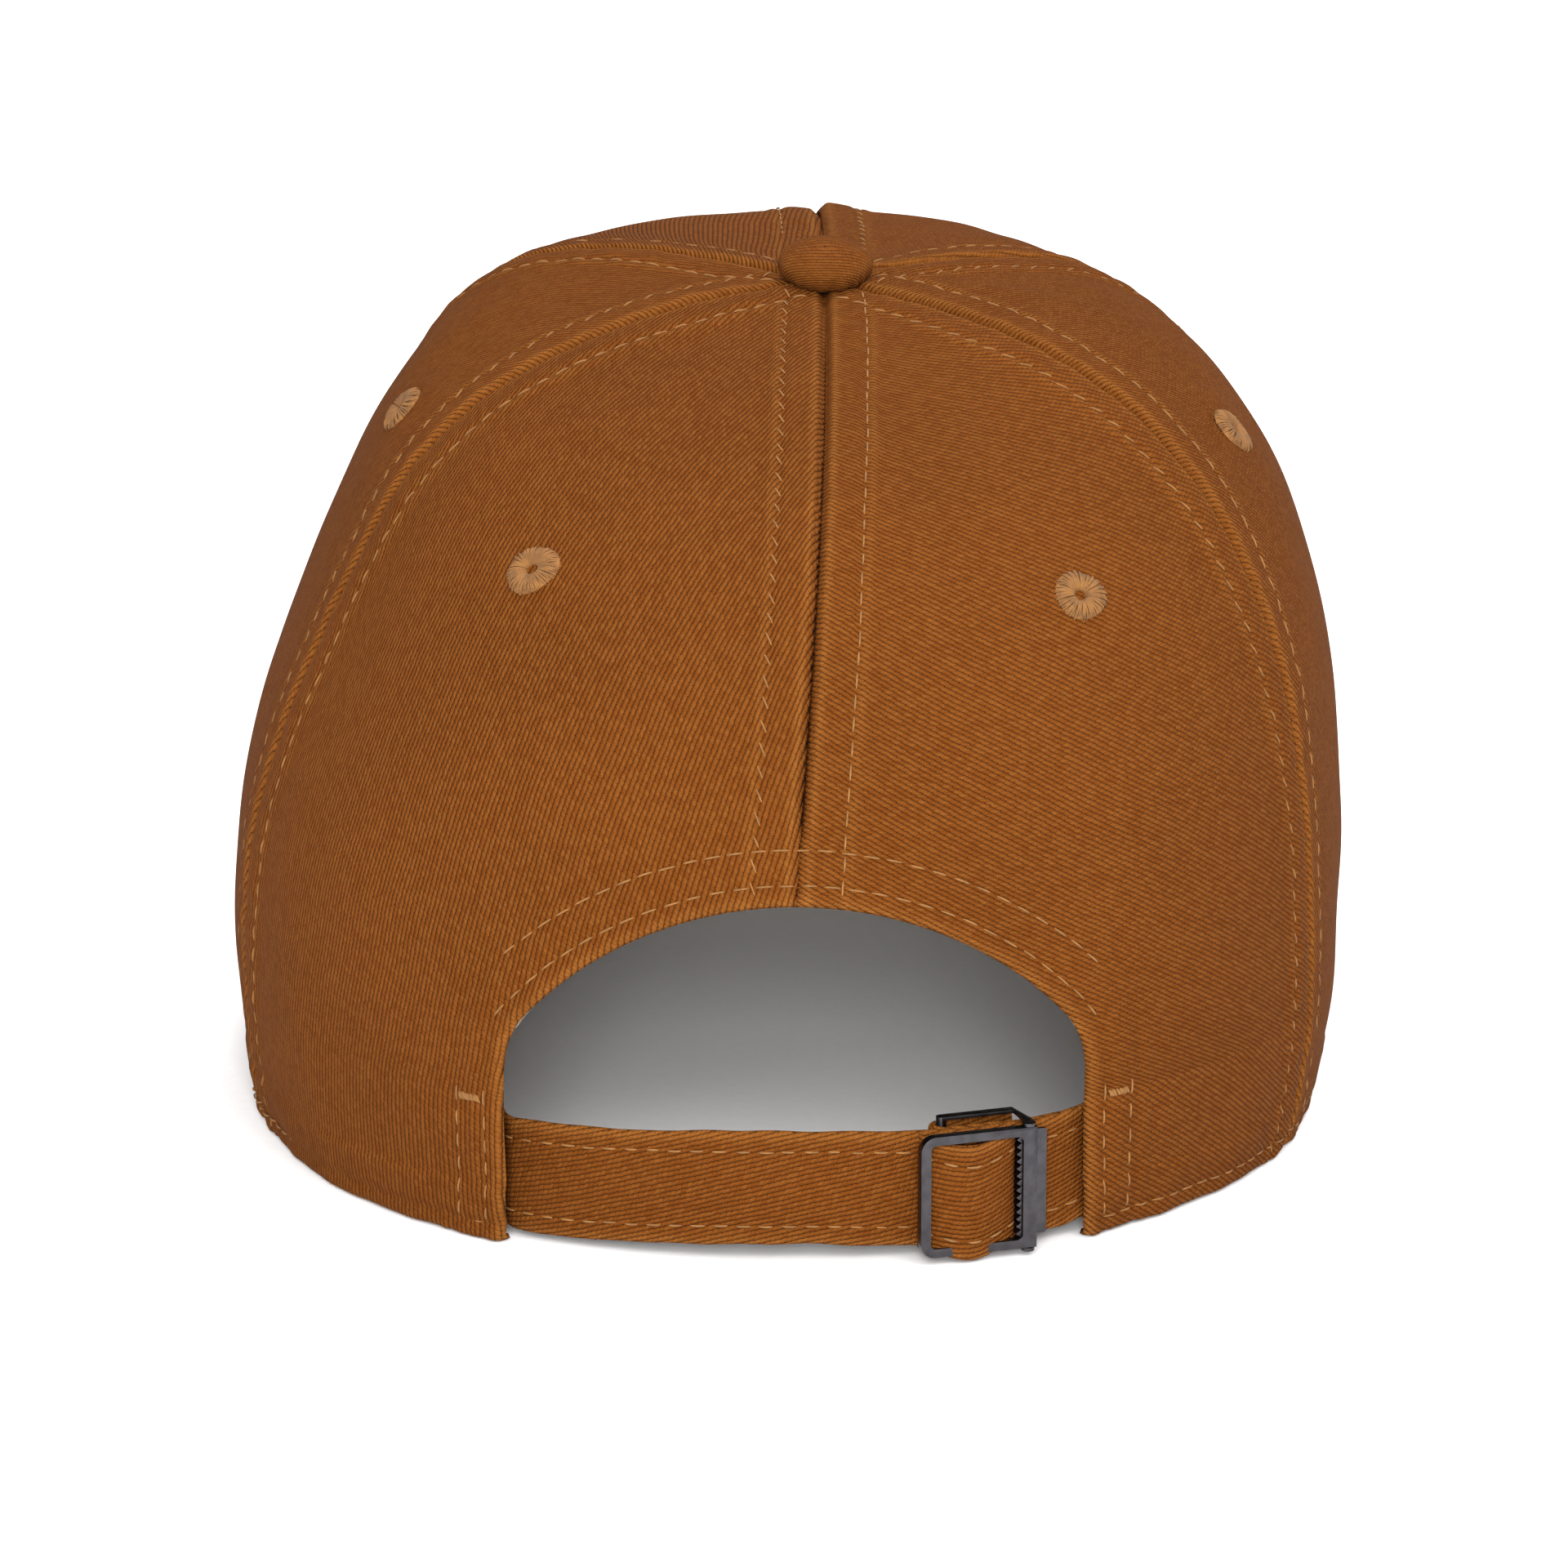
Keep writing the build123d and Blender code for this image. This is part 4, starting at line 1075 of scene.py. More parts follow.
        path, normals = self.edge_row(round_hem, self.hem_row, self.hem_gap)
        sewn.row(path, normals, straight)
        sewn.make(finish)

    def make(self, cloth: bpy.types.Material, thread: bpy.types.Material) -> None:
        """Builds and dresses the crown."""
        for panel in self.panels:
            self.make_panel(panel, cloth)
        self.make_stitches(thread)


@dataclass
class SewnIn:
    """What is sewn inside the crown: buckram, seam tapes, opening facing, sweatband and its pad."""

    crown: Crown
    buckram_in: float = 1.2
    buckram_thick: float = 0.6
    tape_in: float = 2.0
    tape_half: float = 6.0
    tape_thick: float = 0.5
    facing_in: float = 1.0
    facing_wide: float = 10.0
    band_in: float = 5.3
    band_thick: float = 1.2
    band_low: float = 1.0
    band_high: float = 33.0
    band_gap: float = 34.2
    pad_in: float = 2.9
    pad_thick: float = 2.2

    def lining(self, bearing: Array, up: Array, inset: float) -> Array:
        """Plain inner surface in metres, without the relief of the seams."""
        point, normal, _ = self.crown.form.frame(bearing, up)
        return (point - normal * inset) * MM

    def make_buckram(self, finish: bpy.types.Material) -> None:
        """Stiff open cloth behind the two front gores."""
        crown = self.crown
        for panel in crown.panels:
            if not panel.node.startswith("front"):
                continue
            side = panel.node.split("_")[-1]
            columns = np.linspace(panel.start + 1.2, panel.end - 1.2, 40)
            low = crown.rise_to(columns, lambda p: crown.hem_gap(p) - 0.5)
            up = low[None, :] + (0.97 - low[None, :]) * np.linspace(0, 1, 70)[:, None]
            bearing = np.broadcast_to(columns, up.shape)
            points = self.lining(bearing, up, self.buckram_in)
            cloth = crown.cloth(bearing, up, panel)
            patch = Patch(points, cloth)
            piece = new_piece(f"buckram_{side}_cloth", [patch], finish, outward_from=(0, 0, 0.03))
            thicken(piece, self.buckram_thick * MM)
            settle(piece, Body.CAP, [f"buckram_{side}"])

    def make_tapes(self, finish: bpy.types.Material, thread: bpy.types.Material) -> None:
        """Tape over each seam inside, held by the seam's two rows."""
        crown = self.crown
        names = (
            "back_seam_tape",
            "back_side_seam_tape_right",
            "front_side_seam_tape_right",
            "front_seam_tape",
            "front_side_seam_tape_left",
            "back_side_seam_tape_left",
        )
        sewn = Needlework("tape_stitches")
        for name, seam in zip(names, crown.seams):
            gap = crown.opening_gap if seam == 0 else crown.hem_gap
            low = float(crown.rise_to(np.array([seam]), gap)[0]) + 0.004
            up = np.linspace(low, 0.966, 150)
            _, _, across = crown.form.frame(np.full(up.shape, seam), up)
            off = np.linspace(-self.tape_half, self.tape_half, 15)
            bearing = seam + np.degrees(off[None, :] / across[:, None])
            inset = self.tape_in + (self.buckram_thick + 0.4 if abs(seam) > 100 else 0)
            points = self.lining(bearing, np.broadcast_to(up[:, None], bearing.shape), inset)
            cloth = np.stack(np.meshgrid(off * MM, up * crown.form.run * MM), axis=-1)
            piece = new_piece(name + "_cloth", [Patch(points, cloth)], finish, outward_from=(0, 0, 0.03))
            thicken(piece, self.tape_thick * MM)
            settle(piece, Body.CAP, [name])
            for column in (2, 12):
                path = points[:, column]
                inward = unit(np.array([0, 0, 0.03]) - path)
                sewn.row(path + inward * (self.tape_thick + 0.05) * MM, inward, Thread(rings=4, sides=5))
        sewn.make(thread)

    def make_facing(self, finish: bpy.types.Material) -> None:
        """Strip that binds the inside of the opening's arch."""
        crown = self.crown
        bearing = np.linspace(crown.corner(-1.0), crown.corner(1.0), 120)
        off = np.linspace(0.4, self.facing_wide, 12)
        up = np.stack([crown.rise_to(bearing, lambda p, o=o: crown.opening_gap(p) - o) for o in off])
        points = self.lining(np.broadcast_to(bearing, up.shape), up, self.facing_in + self.tape_thick + 0.1)
        run = along(points[0])
        cloth = np.stack(np.meshgrid(run, off * MM), axis=-1)
        piece = new_piece("arch_facing_cloth", [Patch(points, cloth)], finish, outward_from=(0, 0, 0.03))
        thicken(piece, 0.6 * MM)
        settle(piece, Body.CAP, ["arch_facing"])

    def make_band(
        self, finish: bpy.types.Material, foam: bpy.types.Material, thread: bpy.types.Material
    ) -> None:
        """Sweatband folded round the inside of the hem, with a soft pad behind its front."""
        form = self.crown.form
        shares, heights, _ = form.table
        bearing = np.linspace(self.band_gap, 360 - self.band_gap, 300)
        height = np.linspace(self.band_low, self.band_high, 34)
        up = np.interp(height, heights[:400], shares[:400])
        grid_b, grid_u = np.meshgrid(bearing, up)
        edge = (height - self.band_low) / (self.band_high - self.band_low)
        swell = 0.5 * np.sin(np.pi * edge) - 0.4 * hump(height, self.band_low + 3, 0.8)
        ripple = 0.25 * drift(grid_b * 1.5, height[:, None] * 0.6, 14, 6)
        inset = self.band_in + (swell[:, None] + ripple)[..., None]
        point, normal, _ = form.frame(grid_b, grid_u)
        points = (point - normal * inset) * MM
        run = along(points[10])
        cloth = np.stack(np.meshgrid(run, height * MM), axis=-1)
        piece = new_piece("sweatband_cloth", [Patch(points, cloth)], finish, outward_from=(0, 0, 0.017))
        thicken(piece, self.band_thick * MM)
        settle(piece, Body.CAP, ["sweatband"])
        sewn = Needlework("sweatband_stitches")
        for row in (3, 30):
            inward = -normal[row]
            sewn.row(points[row] + inward * (self.band_thick + 0.1) * MM, inward, Thread(rings=4, sides=5))
        sewn.make(thread)
        around = np.linspace(97, 263, 120)
        turn = np.linspace(0, 2 * np.pi, 28)[:-1]
        tall = 17 + 12.6 * np.sign(np.cos(turn)) * np.abs(np.cos(turn)) ** 0.5
        ends = np.sqrt(np.clip(1 - np.abs(np.linspace(-1, 1, 120)) ** 12, 0.02, 1))
        depth = self.pad_in + self.pad_thick / 2 + self.pad_thick / 2 * np.sin(turn)[None, :] * ends[:, None]
        tall = 17 + (tall - 17)[None, :] * ends[:, None]
        up = np.interp(tall, heights[:400], shares[:400])
        pad_b = np.broadcast_to(around[:, None], up.shape)
        point, normal, _ = form.frame(pad_b, up)
        pad = (point - normal * depth[..., None]) * MM
        piece = new_piece("sweatband_pad_foam", [Patch(pad)], foam, closed=True, caps=True)
        turn_out(piece)
        settle(piece, Body.CAP, ["sweatband_pad"])

    def make(self, finishes: dict[str, bpy.types.Material]) -> None:
        """Builds everything inside the crown."""
        self.make_buckram(finishes["buckram"])
        self.make_tapes(finishes["tape"], finishes["thread"])
        self.make_facing(finishes["tape"])
        self.make_band(finishes["band"], finishes["foam"], finishes["thread"])


def turn_out(piece: bpy.types.Object) -> None:
    """Makes a closed piece's faces look outwards."""
    work = bmesh.new()
    work.from_mesh(piece.data)
    bmesh.ops.recalc_face_normals(work, faces=work.faces)
    work.to_mesh(piece.data)
    work.free()


@dataclass
class Eyelets:
    """Six embroidered vent holes: a raised ring of cloth under close radial threads."""

    crown: Crown
    hole: float = 0.9
    ring: float = 4.25
    rise: float = 0.75
    strands: int = 62
    dish: float = 190.0
    places: tuple[tuple[str, float, float], ...] = (
        ("back_eyelet_left", -32.8, 0.584),
        ("back_eyelet_right", 29.1, 0.57),
        ("side_eyelet_left", -82.3, 0.608),
        ("side_eyelet_right", 76.1, 0.603),
        ("front_eyelet_left", -150.0, 0.6),
        ("front_eyelet_right", 150.0, 0.6),
    )

    def make(self, thread: bpy.types.Material) -> None:
        """Builds and dresses all six."""
        for number, (name, bearing, up) in enumerate(self.places):
            self.make_one(name, bearing, up, thread, number)

    def make_one(self, name: str, bearing: float, up: float, thread: bpy.types.Material, seed: int) -> None:
        """One eyelet: a ring whose height is half an ellipse of the radius, and its threads."""
        centre, normal, _ = self.crown.skin(np.array([bearing]), np.array([up]))
        centre, normal = centre[0], normal[0]
        first = unit(np.cross(np.array([0.0, 0.0, 1.0]), normal))
        second = np.cross(normal, first)
        rng = np.random.default_rng(40 + seed)
        angle = np.linspace(0, 2 * np.pi, 121)[:-1]
        share = np.linspace(0, 1, 16)
        radius = self.hole + (self.ring - self.hole) * share
        wobble = 1 + 0.05 * np.sin(2 * angle + seed) + 0.03 * np.sin(3 * angle + 2 * seed)
        height = self.rise * half_ellipse(share) - 0.9 * (1 - ease(share, 0, 0.12)) - 0.15
        across = (radius[:, None] * wobble[None, :])[..., None]
        spoke = spokes(angle, first, second)
        bend = (radius**2 / self.dish)[:, None, None]
        points = centre + (spoke[None] * across + normal * (height[:, None, None] - bend)) * MM
        base = new_piece(name + "_ring", [Patch(points)], thread, closed=True)
        settle(base, Body.CAP, [name])
        if normal.dot(base.data.polygons[40].normal) < 0:
            base.data.flip_normals()
        sewn = Needlework(name + "_threads")
        t = np.linspace(0, 1, 14)
        for k in range(self.strands):
            where = 2 * np.pi * (k + rng.uniform(-0.28, 0.28)) / self.strands
            girth = 1 + 0.05 * np.sin(2 * where + seed) + 0.03 * np.sin(3 * where + 2 * seed)
            reach = (self.hole * 0.9 + (self.ring + rng.uniform(-0.1, 0.42) - self.hole) * t) * girth
            twist = where + rng.uniform(-0.07, 0.07) * t
            out = spokes(twist, first, second)
            lift = (self.rise + 0.10) * half_ellipse(t) - 0.12 - reach**2 / self.dish
            path = centre + (out * reach[:, None] + normal * lift[:, None]) * MM
            length = along(path)[-1] / MM
            strand = Thread(pitch=length * 0.99, dash=length * 0.98, radius=0.19, rings=9, sides=5)
            sewn.row(path, np.repeat(normal[None, :], 14, 0), strand)
        sewn.make(thread)


@dataclass
class Button:
    """Cloth-covered button on the crown's top, its metal shell and the tack that holds it."""

    crown: Crown
    radius: float = 7.55
    height: float = 5.6
    tuck: float = 0.9
    lean_back: float = 14.0

    def seat(self) -> tuple[Array, Array, Array, Array]:
        """Place of the button's foot in millimetres, its axis, and two directions across it."""
        foot = self.crown.form.place(np.array([0.0]), np.array([0.999]))[0]
        back = np.radians(self.lean_back)
        axis = np.array([-0.03, np.sin(back), np.cos(back)])
        axis = axis / np.linalg.norm(axis)
        first = unit(np.cross(np.array([0.0, 1.0, 0.0]), axis))
        return foot, axis, first, np.cross(axis, first)

    def shell(self, inset: float, rings: int = 44, sides: int = 128, rough: float = 1.0) -> Patch:
        """Dome: radius and height follow a rounded ellipse of a turn from the middle to under the rim.

        Args:
            inset: Distance inside the cloth's outside.
            rings: Rows from the middle out.
            sides: Points in each row.
            rough: Share of the cloth's unevenness.

        Returns:
            The grid, with cloth coordinates that run over the dome.
        """
        foot, axis, first, second = self.seat()
        turn = np.linspace(0.02, 1, rings) * np.radians(128)
        wide, tall = self.radius - inset, self.height * 0.52 - inset * 0.6
        out = wide * np.sin(turn) ** 0.80
        rise = self.height * 0.46 + tall * np.sign(np.cos(turn)) * np.abs(np.cos(turn)) ** 0.92
        out = np.where(turn > np.pi / 2, wide - self.tuck * (turn - np.pi / 2) ** 2 * 2, out)
        angle = np.arange(sides) * 2 * np.pi / sides
        pucker = rough * 0.16 * ease(turn, 1.3, 2.0)[:, None] * np.sin(angle * 17 + 1.5 * np.sin(angle * 5))
        east, north = np.cos(angle)[None, :], np.sin(angle)[None, :]
        lump = rough * 0.12 * drift(east * out[:, None], north * out[:, None], 7, 3)
        reach = (out[:, None] + pucker + lump)[..., None]
        spoke = spokes(angle, first, second)
        points = foot + spoke[None] * reach + axis * (rise[:, None] + 0.5 * lump)[..., None]
        length = turn * self.radius * 0.85
        cloth = np.stack([north * length[:, None], east * length[:, None]], -1)
        # Lighter ring round the dome's shoulder: edge wear and painted highlight.
        wear_and_highlight = np.broadcast_to(0.18 * hump(turn, 1.3, 0.4)[:, None], reach.shape[:2])
        return Patch(points * MM, cloth * MM, wear_and_highlight)

    def make(self, cloth: bpy.types.Material, steel: bpy.types.Material) -> None:
        """Builds and dresses the button."""
        foot, axis, first, second = self.seat()
        inside = tuple((foot + axis * self.height * 0.4) * MM)
        cover = new_piece("button_cloth", [self.shell(0)], cloth, inside, closed=True, caps=True, weld=0)
        thicken(cover, 0.0005)
        settle(cover, Body.CAP, ["button_cover"])
        under = self.shell(0.8, 20, 48, 0)
        metal = new_piece("button_metal", [under], steel, inside, closed=True, caps=True)
        settle(metal, Body.CAP, ["button_shell"])
        angle = np.arange(32) * 2 * np.pi / 32
        spoke = spokes(angle, first, second)
        stem = [(0.3, 2.2), (1.05, 2.0), (1.1, -2.0)]
        plate = [(4.6, -2.1), (5.0, -2.4), (4.6, -2.8), (0.3, -2.9)]
        profile = np.array(stem + plate)
        points = foot + spoke[None] * profile[:, :1, None] + axis * profile[:, 1:, None]
        tack = new_piece("button_tack_metal", [Patch(points * MM)], steel, closed=True, caps=True)
        turn_out(tack)
        settle(tack, Body.CAP, ["button_tack"])


def stadium(count: int = 22, corner: int = 5) -> tuple[Array, Array, Array]:
    """Section of a folded strap: two flat faces and two half-round edges.

    Args:
        count: Points on each flat face.
        corner: Points on each edge.

    Returns:
        Shares of the flat half width, of the rounding beyond it and of the half thickness, starting
        in the middle of the inner face.
    """
    flat = np.linspace(-1, 1, count)
    round_edge = np.linspace(-np.pi / 2, np.pi / 2, corner + 2)[1:-1]
    start, finish = flat[count // 2 :], flat[: count // 2]
    one = np.ones(corner)
    wide = np.concatenate([start, one, flat[::-1], -one, finish])
    beyond = np.cos(round_edge)
    extra = np.concatenate([0 * start, beyond, 0 * flat, -beyond, 0 * finish])
    through = np.sin(round_edge)
    thick = np.concatenate([0 * start - 1, through, 0 * flat + 1, -through, 0 * finish - 1])
    return wide, extra, thick


@dataclass
class Straps:
    """The back strap's two lengths and the stretch that bulges through the buckle. Millimetres.

    Directions are in degrees from the rear towards the wearer's right, about the rear arc's centre.
    """

    centre: float = 13.0
    middle: float = 11.1
    width: float = 18.0
    long_in: float = 81.7
    long_out: float = 83.2
    short_in: float = 80.1
    short_out: float = 81.4
    bar_at: float = 79.15
    buckle: float = 18.4
    long_start: float = -42.2
    long_end: float = 55.2
    short_end: float = 70.2
    row_in: float = 3.1
    cord_rise: float = 14.0
    tuck: float = 4.5

    def sway(self, course: Array) -> Array:
        """How far the strap's middle stands above its plain height along its course."""
        left = -0.9 + 1.8 * ease(course, -32, -2) - 0.8 * ease(course, 0, 16)
        return left + 4.2 * ease(course, 26.5, 42)

    def ribbon(
        self,
        name: str,
        plan: Array,
        outward: Array,
        middle: Array,
        width: Array,
        thick: float,
        finish: bpy.types.Material,
        grain: float,
    ) -> tuple[bpy.types.Object, Callable[[float], tuple[Array, Array]]]:
        """Strap carried along a line in plan: at each point a section of two faces and round edges.

        Args:
            name: Piece name.
            plan: Middle line, points by 2.
            outward: Outward directions in plan.
            middle: Height of the strap's middle at each point.
            width: Its width at each point.
            thick: Its thickness.
            finish: Its cloth.
            grain: Direction of the cords from the strap's length, in degrees.

        Returns:
            The piece, and a function that gives a line on its outer face at a distance from its middle.
        """
        side, extra, through = stadium()
        run = along(np.concatenate([plan, 0 * plan[:, :1]], axis=1))
        half = width[:, None] / 2 - thick / 2
        from_edge = half * (1 - np.abs(side[None, :])) + thick / 2
        outer = through > 0.9
        dent = -0.16 * hump(from_edge, self.row_in, 0.6) - 0.10 * (1 - ease(from_edge, 0.6, 2.2)) + 0.10
        wave = 0.18 * drift(run[:, None], side[None, :] * 9, 13, 8)
        depth = thick / 2 * through[None, :] + np.where(outer[None, :], dent, 0) + wave
        edge_wave = 0.14 * drift(run, run * 0, 9, 12)[:, None] * np.sign(side)[None, :]
        height = middle[:, None] + half * side[None, :] + thick / 2 * extra[None, :] + edge_wave
        place = plan[:, None, :] + outward[:, None, :] * depth[..., None]
        points = np.concatenate([place, height[..., None]], axis=-1) * MM
        u = np.broadcast_to(run[:, None], height.shape)
        v = height - middle[:, None]
        cloth = turned(u, v, grain) * MM
        # Lighter strap edges: edge wear and painted highlight.
        wear_and_highlight = 0.5 * hump(from_edge, thick / 2, 0.7) + 0 * height
        piece = new_piece(name, [Patch(points, cloth, wear_and_highlight)], finish, closed=True, caps=True, weld=0)
        turn_out(piece)

        def line(off: float) -> tuple[Array, Array]:
            """Line on the outer face, off from the middle."""
            level = middle + off * (width / self.width)
            surface = plan + outward * (thick / 2 + 0.02 + wave[:, len(through) // 2, None])
            direction = np.concatenate([outward, 0 * outward[:, :1]], axis=1)
            return np.concatenate([surface, level[:, None]], axis=1) * MM, direction

        return piece, line

    def arc(self, course: Array, reach: Array) -> tuple[Array, Array]:
        """Plan points and outward directions of a line round the rear arc's centre."""
        turn = np.radians(course)
        outward = np.stack([-np.sin(turn), np.cos(turn)], axis=-1)
        plan = outward * np.broadcast_to(reach, course.shape)[:, None] + np.array([0.0, self.centre])
        return plan, outward

    def make_long(self, cloth: bpy.types.Material, thread: bpy.types.Material) -> None:
        """The long length, sewn in on the left, its tail tucked in on the right."""
        course = np.linspace(self.long_start, self.long_end, 260)
        thick = self.long_out - self.long_in
        tucked = self.tuck * (ease(-course, 31.0, 37.0) + 0.55 * ease(course, 31.0, 36.0))
        plan, outward = self.arc(course, self.long_out - thick / 2 - tucked)
        middle = self.middle + self.sway(course)
        width = np.full(course.shape, self.width)
        piece, line = self.ribbon(
            "long_strap_cloth", plan, outward, middle, width, thick, cloth, self.cord_rise
        )
        settle(piece, Body.CAP, ["long_strap"])
        sewn = Needlework("long_strap_stitches")
        for off in (-self.width / 2 + self.row_in, self.width / 2 - self.row_in):
            path, normals = line(off)
            sewn.row(path, normals, Thread(pitch=3.45, dash=2.2, radius=0.18))
        sewn.make(thread)

    def make_bulge(self, cloth: bpy.types.Material, thread: bpy.types.Material) -> None:
        """The stretch pushed up through the buckle's window."""
        t = np.linspace(0, 1, 60)
        course = self.buckle + np.degrees((-8.4 + 15.2 * t) / 84)
        arch = np.maximum(np.sin(np.pi * t**0.9), 0) ** 0.5
        plan, outward = self.arc(course, self.long_out - 0.35 + 3.7 * arch)
        width = self.width + 0.2 * arch
        middle = self.middle + self.sway(course) - 1.6 * hump(t, 0.48, 0.34)
        piece, line = self.ribbon("strap_in_window", plan, outward, middle, width, 1.4, cloth, 4.0)
        settle(piece, Body.BUCKLE)
        sewn = Needlework("window_stitches", Body.BUCKLE)
        for off in (-self.width / 2 + self.row_in, self.width / 2 - self.row_in):
            path, normals = line(off)
            sewn.row(path, normals, Thread(pitch=3.3, dash=2.3, radius=0.19))
        sewn.make(thread)

    def make_short(self, cloth: bpy.types.Material) -> None:
        """The short length, looped round the buckle's middle bar and sewn back on itself."""
        thick = self.short_out - self.short_in
        bar = self.buckle - np.degrees(3.5 / 84)
        outer = (self.short_in + self.short_out) / 2
        drop = outer - self.bar_at
        run, outward = self.arc(np.linspace(self.short_end, bar, 130), outer)
        ring, facing = self.arc(np.array([bar]), self.bar_at)
        ahead = np.array([facing[0][1], -facing[0][0]])
        turn = np.linspace(0, np.pi, 14)[1:-1, None]
        bend = np.cos(turn) * facing + np.sin(turn) * ahead * (1 if ahead[0] > 0 else -1)
        back, inward = self.arc(np.linspace(bar, bar + np.degrees(12 / 80), 16), self.bar_at - drop)
        plan = np.concatenate([run, ring + bend * drop, back])
        facing_all = np.concatenate([outward, bend, -inward])
        middle = np.full(len(plan), self.middle)
        width = np.full(len(plan), self.width - 0.4)
        piece, _ = self.ribbon(
            "short_strap_cloth", plan, facing_all, middle, width, thick, cloth, self.cord_rise
        )
        settle(piece, Body.BUCKLE, ["short_strap"])

    def make(self, cloth: bpy.types.Material, thread: bpy.types.Material) -> None:
        """Builds and dresses the straps."""
        self.make_long(cloth, thread)
        self.make_bulge(cloth, thread)
        self.make_short(cloth)


@dataclass
class Buckle:
    """Toothed clamp, its base and pins, with their edges eased as castings have them."""

    ease_by: float = 0.32

    def refined(self, node: str, body: Body, width: float, finish: bpy.types.Material) -> bpy.types.Object:
        """Copy of a CAD node, its doubles merged, with rounded edges."""
        source = bpy.data.objects[node]
        mesh = source.data.copy()
        mesh.name = node + "_metal"
        work = bmesh.new()
        work.from_mesh(mesh)
        bmesh.ops.remove_doubles(work, verts=work.verts, dist=1e-6)
        bmesh.ops.dissolve_limit(work, angle_limit=0.02, verts=work.verts, edges=work.edges)
        work.to_mesh(mesh)
        work.free()
        mesh.materials.clear()
        mesh.materials.append(finish)
        mesh.shade_smooth()
        piece = bpy.data.objects.new(node + "_metal", mesh)
        bpy.context.scene.collection.objects.link(piece)
        round_edge = piece.modifiers.new("eased", "BEVEL")
        round_edge.width = width * MM
        round_edge.segments = 3
        round_edge.limit_method = "ANGLE"
        round_edge.angle_limit = np.radians(35)
        round_edge.harden_normals = True
        return settle(piece, body, [node])

    def make(self, finish: bpy.types.Material) -> None:
        """Builds and dresses the buckle."""
        self.refined("clamp_frame", Body.CLAMP, self.ease_by, finish)
        self.refined("buckle_base", Body.BUCKLE, 0.12, finish)
        self.refined("hinge_pins", Body.BUCKLE, 0.08, finish)


